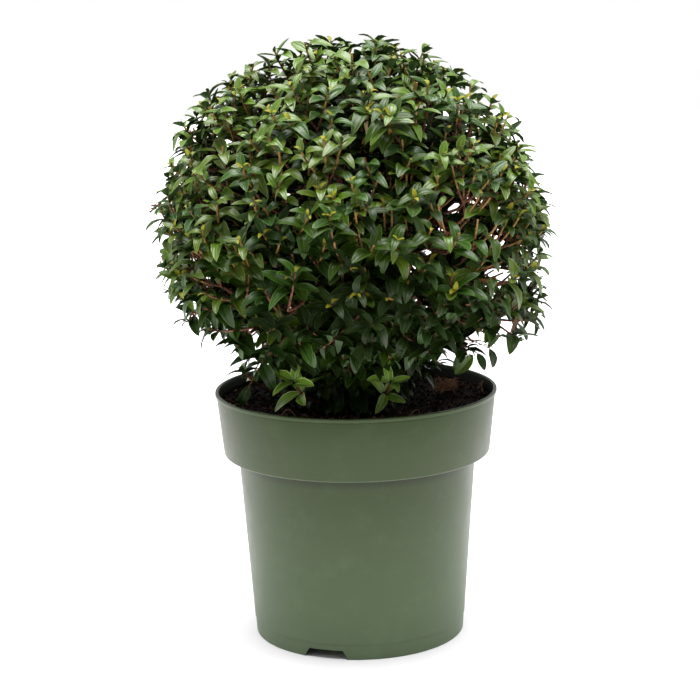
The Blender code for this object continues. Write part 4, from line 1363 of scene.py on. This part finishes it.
feed(result, {"Geometry": finished})

# A waxy cuticle over green flesh: soft highlights, broken up by shallow veins along the blade and by cells
# under the skin, which are drawn far coarser than real ones to show at all. Leaves high on the ball and out
# to its left and right, ribs and all, are painted lighter and shine more, as painted light, and the inner
# ones are painted darkest and shine least, as painted shade.
VEINS_ACROSS = 4
VEIN_RELIEF = 0.00006
CELL_SIZE = 0.001111
CELL_RELIEF = 0.0002
# Greens by tone, from painted shade to painted light, then the young leaves' own, then the inner sprays'
# painted shade.
UPPER_GREENS = ("213010", "20380E", "2C4206", "2A4A0C", "485C04", "4E6C08", "8A8614", "19260C", "1D2E0C")
RIB_GREENS = ("384C24", "3C5626", "4A6629", "5A7834", "6C8640", "728C44", "9AA04A", "2B3D1A", "30461A")
UPPER_SHEENS = (0.24, 0.28, 0.34, 0.46, 0.58, 0.64, 0.3, 0.15, 0.15)
UPPER_ROUGHNESS = 0.34
RIB_ROUGHNESS = 0.45


def leaf_finish(name, colour, roughness, sheen=0.5):
    """A leaf's skin in one plain colour, with faint veins and cells in its relief."""
    made, tree, shader = new_material(name, colour, Roughness=roughness, IOR=1.45, Specular_IOR_Level=sheen)
    blade = add_node(tree, "ShaderNodeUVMap", uv_map="blade")
    across = add_node(tree, "ShaderNodeSeparateXYZ", {"Vector": blade}).outputs["X"]
    veins = add_node(tree, "ShaderNodeMath", {0: across, 1: math.tau * VEINS_ACROSS}, operation="MULTIPLY")
    veins = add_node(tree, "ShaderNodeMath", {0: veins}, operation="COSINE")
    relief = add_node(tree, "ShaderNodeBump", {"Strength": 1.0, "Distance": VEIN_RELIEF, "Height": veins})
    place = object_place(tree)
    cells = add_node(tree, "ShaderNodeTexNoise", {"Vector": place, "Scale": 1 / CELL_SIZE, "Detail": 3})
    cells = {"Strength": 0.2, "Distance": CELL_RELIEF, "Height": cells, "Normal": relief}
    feed(shader, {"Normal": add_node(tree, "ShaderNodeBump", cells)})
    return made


leaf_under = leaf_finish("leaf_underside_dull_green", "384E26", roughness=0.6)


def leaf_piece(name, kind, upper, rib, slot, *nodes):
    """All the leaves of one tone, as a finished piece."""
    mesh = bpy.data.meshes.new(name)
    roots, *columns = zip(*kind)
    mesh.from_pydata(roots, [], [])
    for (label, data_type, field), values in zip(LEAF_FIELDS, columns):
        attribute = mesh.attributes.new(label, data_type, "POINT")
        attribute.data.foreach_set(field, np.array(values).ravel())
    made = grown(new_object(name, mesh), foliage, forms=leaf_forms, upper=upper, under=leaf_under, rib=rib)
    as_piece(made, slot, *nodes)


for number, looks in enumerate(zip(leaves, UPPER_GREENS, RIB_GREENS, UPPER_SHEENS), 1):
    kind, green, rib_green, sheen = looks
    upper = leaf_finish(f"leaf_upper_waxy_green_{number}", green, UPPER_ROUGHNESS, sheen)
    rib = leaf_finish(f"leaf_midrib_and_margin_{number}", rib_green, RIB_ROUGHNESS, sheen)
    leaf_piece(f"crown_leaves_{number}", kind, upper, rib, "leaf_green", "crown_foliage")

# Dried leaves have lost their wax: papery, matte and curled up.
for shade, colour in (("cream", "A8946A"), ("tan", "8A6650")):
    dry = leaf_finish(f"leaf_dried_{shade}", colour, roughness=0.75, sheen=0.2)
    leaf_piece(f"dry_leaves_{shade}", dry_leaves[shade], dry, dry, "leaf_green")


# Low shoots. Three young shoots spring from the foot of the stem and stand free over the potting mix, with
# whorls of fresh green leaves on brown wood, larger on the left shoot than on the others.

LOW_SHOOTS = {
    "low_shoot_left": {"tip": (-0.049, -0.060, 0.221), "whorls": (0.0, 0.012), "leaf": 0.027},
    "low_shoot_right": {"tip": (0.027, -0.058, 0.219), "whorls": (0.0, 0.014), "leaf": 0.021},
    "low_shoot_side": {"tip": (-0.092, 0.012, 0.216), "whorls": (0.0, 0.010), "leaf": 0.021},
}
LOW_SHOOT_RADII = (0.0019, 0.0009)
LOW_SHOOT_STEPS = 12
LOW_SHOOT_START = 0.004
# How far out and up the shoot aims where it leaves the stem, and at its tip.
LOW_SHOOT_AIMS = ((1.0, 0.1), (0.5, 0.8))
LOW_LEAF_DEPTHS = (0.001, 0.003)
LOW_LEAF_ANGLES = (68, 52)
LOW_LEAF_OPENING = 10
LOW_LEAF_TURN_RANGE = 9
LOW_LEAF_SIZE_RANGE = (0.85, 1.05)
LOW_LEAF_FORMS = (5, 6)
LOW_LEAF_LEAN_RANGE = 5
LOW_LEAF_CLEAR_AT = 0.8
# The bud stands a little beyond the shoot's tip: its depth, the share of a leaf's size and its angle.
BUD_DEPTH, BUD_SHARE, BUD_ANGLE = -0.001, 0.35, 24
LEAVES_IN_WHORL, LEAVES_IN_BUD = 4, 2
QUARTER_TURN = 90


def low_shoot_course(plan):
    """From the foot of the stem, low over the potting mix, then up into its tip."""
    tip = Vector(plan["tip"])
    out = outward_from_axis(tip)
    leaving, arriving = (out * level + UP * rise for level, rise in LOW_SHOOT_AIMS)
    return curve_between(point_on_stem(LOW_SHOOT_START), leaving, tip, arriving, LOW_SHOOT_STEPS)


# Young leaves: bright, thin green flesh under fresh wax, so they shine most, with pale ribs.
fresh_upper = leaf_finish("leaf_upper_fresh_green", "76A22A", roughness=0.36, sheen=0.7)
fresh_rib = leaf_finish("leaf_midrib_fresh", "C4D488", roughness=0.45)
for name, plan in LOW_SHOOTS.items():
    draw = random.Random(f"{SEED} {name}")
    path = low_shoot_course(plan)
    wood, kind = Wood(), []
    wood.add(path, LOW_SHOOT_RADII)
    whorls = [(depth, 1.0) for depth in plan["whorls"]] + [(BUD_DEPTH, BUD_SHARE)]
    for level, (depth, share) in enumerate(whorls):
        for k in range(LEAVES_IN_WHORL if share == 1 else LEAVES_IN_BUD):
            point, axis = along_path(path, depth + LOW_LEAF_DEPTHS[k % 2])
            swing = perpendicular(axis)
            turn = QUARTER_TURN * (k + level / 2) + draw.uniform(-LOW_LEAF_TURN_RANGE, LOW_LEAF_TURN_RANGE)
            swing = Matrix.Rotation(math.radians(turn), 3, axis) @ swing
            lean = LOW_LEAF_ANGLES[k % 2] + draw.uniform(-LOW_LEAF_LEAN_RANGE, LOW_LEAF_LEAN_RANGE)
            lean = math.radians(lean + LOW_LEAF_OPENING * level if share == 1 else BUD_ANGLE)
            way = (axis * math.cos(lean) + swing * math.sin(lean)).normalized()
            length = plan["leaf"] * share * draw.uniform(*LOW_LEAF_SIZE_RANGE)
            if clear_of_pot(point + way * length * LOW_LEAF_CLEAR_AT):
                kind.append((point, way, axis, length, LOW_LEAF_FORMS[(k + level) % 2]))
    wood_piece(f"{name}_stem", wood, wood_bark, 10, "bark", name)
    leaf_piece(f"{name}_leaves", kind, fresh_upper, fresh_rib, "young_leaf_green", name)


# Small things that a grown plant gathers: fine pale roots and a tuft of root fibre on the potting mix, bare
# twigs under the crown, and withered flower stalks at its edge, each a run of thin tubes.

ROOT_TUFT = (0.075, 0.016)
TUFT_SIZE = 0.0085
TUFT_LUMPS = [Vector(place) for place in ((0, 0, 0), (0.004, 0.003, 0.003), (-0.004, -0.002, 0))]
TUFT_FIBRES = 90
FIBRE_RADII = (0.00032, 0.00014)
# Loose roots on the mix: where each lies, its heading in degrees and its length.
LOOSE_ROOTS = (
    ((0.062, 0.030), 25, 0.026),
    ((0.070, 0.010), 140, 0.020),
    ((0.100, 0.016), 70, 0.014),
    ((0.104, 0.006), 110, 0.012),
    ((-0.088, -0.040), 200, 0.018),
    ((-0.060, -0.066), 340, 0.014),
    ((0.040, -0.072), 30, 0.012),
)
ROOT_ARCH = 0.007
# Bare twigs under the crown and at its left edge: from, to.
BARE_TWIGS = (
    ((0.066, -0.014, 0.246), (0.109, -0.010, 0.2352)),
    ((0.074, -0.012, 0.241), (0.114, -0.014, 0.239)),
    ((0.082, -0.010, 0.240), (0.0987, -0.010, 0.2315)),
    ((0.070, -0.014, 0.243), (0.0889, -0.010, 0.2320)),
    ((-0.076, -0.040, 0.226), (-0.0845, -0.045, 0.2160)),
    ((-0.110, -0.030, 0.276), (-0.142, -0.034, 0.284)),
    ((-0.128, -0.032, 0.280), (-0.146, -0.038, 0.292)),
    ((-0.138, -0.010, 0.352), (-0.160, -0.014, 0.357)),
)
# Withered stalks at the crown's edge: where each springs, and how far it runs out.
WITHERED = (
    ((-0.154, -0.014, 0.356), -0.008),
    ((-0.145, -0.038, 0.292), -0.006),
    ((-0.142, -0.036, 0.285), -0.005),
)
WITHERED_HOOKS = 5
WRIGGLE_STEPS = 8
WRIGGLE_RANGE = 0.3
TUFT_SPREAD, TUFT_STRETCH, TUFT_LIFT = 0.22, 1.8, 0.001
FIBRE_LENGTH_RANGE, FIBRE_RISE_RANGE = (0.5, 1.2), (0.05, 0.5)
ROOT_SINK = 0.0005
TWIG_ARCH = 0.3
HOOK_STRAY, HOOK_REACH = 0.003, 0.005
TWIG_ENDS, SPUR_ENDS = (0.0008, 0.0004), (0.0005, 0.0003)
SPURS_AT = (0.45, 0.75)
SPUR_LENGTH = 0.006


def wriggle(start, heading, length, rise, draw):
    """A thin curved run over the potting mix that rises and comes down again."""
    out = Vector((math.cos(heading), math.sin(heading), 0))
    side = Vector((-out.y, out.x, 0)) * length * draw.uniform(-WRIGGLE_RANGE, WRIGGLE_RANGE)
    points = []
    for k in range(WRIGGLE_STEPS + 1):
        t = k / WRIGGLE_STEPS
        swing = math.sin(math.pi * t)
        points.append(start + out * length * t + side * swing + UP * rise * swing)
    return points


draw = random.Random(f"{SEED} roots")
fibres, bare, withered = Wood(), Wood(), Wood()
for _ in range(TUFT_FIBRES):
    offset = Vector([draw.gauss(0, TUFT_SPREAD) for _ in range(3)]) * TUFT_SIZE
    offset.z = abs(offset.z) * TUFT_STRETCH
    offset += draw.choice(TUFT_LUMPS)
    length = TUFT_SIZE * draw.uniform(*FIBRE_LENGTH_RANGE)
    heading = draw.uniform(0, math.tau)
    start = Vector((*ROOT_TUFT, mix_height(*ROOT_TUFT) + TUFT_LIFT)) + offset
    rise = length * draw.uniform(*FIBRE_RISE_RANGE)
    fibres.add(wriggle(start, heading, length, rise, draw), FIBRE_RADII)
for (x, y), heading, length in LOOSE_ROOTS:
    start = Vector((x, y, mix_height(x, y) - ROOT_SINK))
    fibres.add(wriggle(start, math.radians(heading), length, ROOT_ARCH, draw), FIBRE_RADII)
for start, end in BARE_TWIGS:
    start, end = Vector(start), Vector(end)
    along = (end - start).normalized()
    arch = UP * TWIG_ARCH
    bare.add(curve_between(start, along + arch, end, along - arch, RUN_STEPS + 1), TWIG_ENDS)
    for share in SPURS_AT:
        fork = start.lerp(end, share)
        bare.add([fork, fork + (along + stray(draw)) * SPUR_LENGTH], SPUR_ENDS)
for start, run in WITHERED:
    start = Vector(start)
    for _ in range(WITHERED_HOOKS):
        aside = draw.uniform(-HOOK_STRAY, HOOK_STRAY)
        end = start + Vector((run, aside, draw.uniform(-HOOK_REACH, HOOK_REACH)))
        hook = curve_between(start, Vector((-1, 0, 0.2)), end, Vector((0.2, 0, 1)), RUN_STEPS)
        withered.add(hook, SPUR_ENDS)

# Dry roots are matte and straw brown; withered flower stalks are matte and nearly black.
ROOT_SHADES, STALK_SHADES = ("9A6A4C", "D8AC84"), ("1E1418", "4A383A")
dry_fibre = mottled_material("dry_root_fibre", "A07C56", ROOT_SHADES, roughness=0.9, grain=0.001429)
withered_stalk = mottled_material("withered_stalk", "2E2024", STALK_SHADES, roughness=0.85, grain=0.001429)
wood_piece("root_fibres", fibres, dry_fibre, 5, "potting_mix")
wood_piece("bare_twigs", bare, wood_bark, 6, "bark")
wood_piece("withered_stalks", withered, withered_stalk, 5, "bark")


# Stage. A plain pale floor, a soft white studio all round with the darker room behind the camera, and one
# wide softbox overhead.

CAMERA_ROLL = -1.07
CAMERA_LENS = 97.04
FLOOR_RADIUS = 6
ROOM_LIGHT = {"front": 0.08, "back": 1.2, "above": 0.5}
OVERHEAD_WIDTH = 54
OVERHEAD_TILT = (-2, 1)
OVERHEAD_STRENGTH = 6.7
# The room turns from dark to white between these y of the direction looked in, and to its ceiling by z.
ROOM_TURN, CEILING_TURN = (-0.7, 0.2), (0.15, 0.75)

camera = bpy.data.objects.new("camera", bpy.data.cameras.new("camera"))
scene.collection.objects.link(camera)
camera.data.lens = CAMERA_LENS
camera.data.sensor_width = 36
camera.data.clip_start = 0.05
upright = Matrix.Rotation(math.pi / 2 - CAMERA_ELEVATION, 4, "X")
tilted = Matrix.Rotation(math.radians(CAMERA_ROLL), 4, "Z")
camera.matrix_world = Matrix.Translation(CAMERA_PLACE) @ upright @ tilted
scene.camera = camera

bm = bmesh.new()
bmesh.ops.create_circle(bm, cap_ends=True, segments=64, radius=FLOOR_RADIUS)
paper, *_ = new_material("white_sweep_paper", "F7F5F8", Roughness=0.9, Specular_IOR_Level=0.2)
floor = new_object("floor", mesh_of(bm, "floor"), paper)
floor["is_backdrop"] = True

overhead = bpy.data.objects.new("overhead_softbox", bpy.data.lights.new("overhead_softbox", "SUN"))
scene.collection.objects.link(overhead)
overhead.data.angle = math.radians(OVERHEAD_WIDTH)
overhead.data.energy = OVERHEAD_STRENGTH
overhead.rotation_euler = (math.radians(OVERHEAD_TILT[0]), math.radians(OVERHEAD_TILT[1]), 0)

world = bpy.data.worlds.new("studio")
world.use_nodes = True
scene.world = world
studio = world.node_tree
studio.nodes.clear()
facing = add_node(studio, "ShaderNodeTexCoord").outputs["Generated"]
facing = add_node(studio, "ShaderNodeSeparateXYZ", {"Vector": facing})
round_room = {"Value": facing.outputs["Y"], "From Min": ROOM_TURN[0], "From Max": ROOM_TURN[1]}
round_room |= {"To Min": ROOM_LIGHT["front"], "To Max": ROOM_LIGHT["back"]}
round_room = add_node(studio, "ShaderNodeMapRange", round_room, interpolation_type="SMOOTHSTEP")
upward = {"Value": facing.outputs["Z"], "From Min": CEILING_TURN[0], "From Max": CEILING_TURN[1]}
upward = add_node(studio, "ShaderNodeMapRange", upward, interpolation_type="SMOOTHSTEP")
light = {"Factor": upward, "A": round_room, "B": ROOM_LIGHT["above"]}
light = add_node(studio, "ShaderNodeMix", light, data_type="FLOAT")
in_view = add_node(studio, "ShaderNodeLightPath").outputs["Is Camera Ray"]
seen = {"Factor": in_view, "A": light, "B": 1.0}
seen = add_node(studio, "ShaderNodeMix", seen, data_type="FLOAT")
background = add_node(studio, "ShaderNodeBackground", {"Color": (1, 1, 1, 1), "Strength": seen})
add_node(studio, "ShaderNodeOutputWorld", {"Surface": background})
scene.view_settings.view_transform = "Standard"

[[list(corner) for corner in box] for box in (cad_box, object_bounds())]
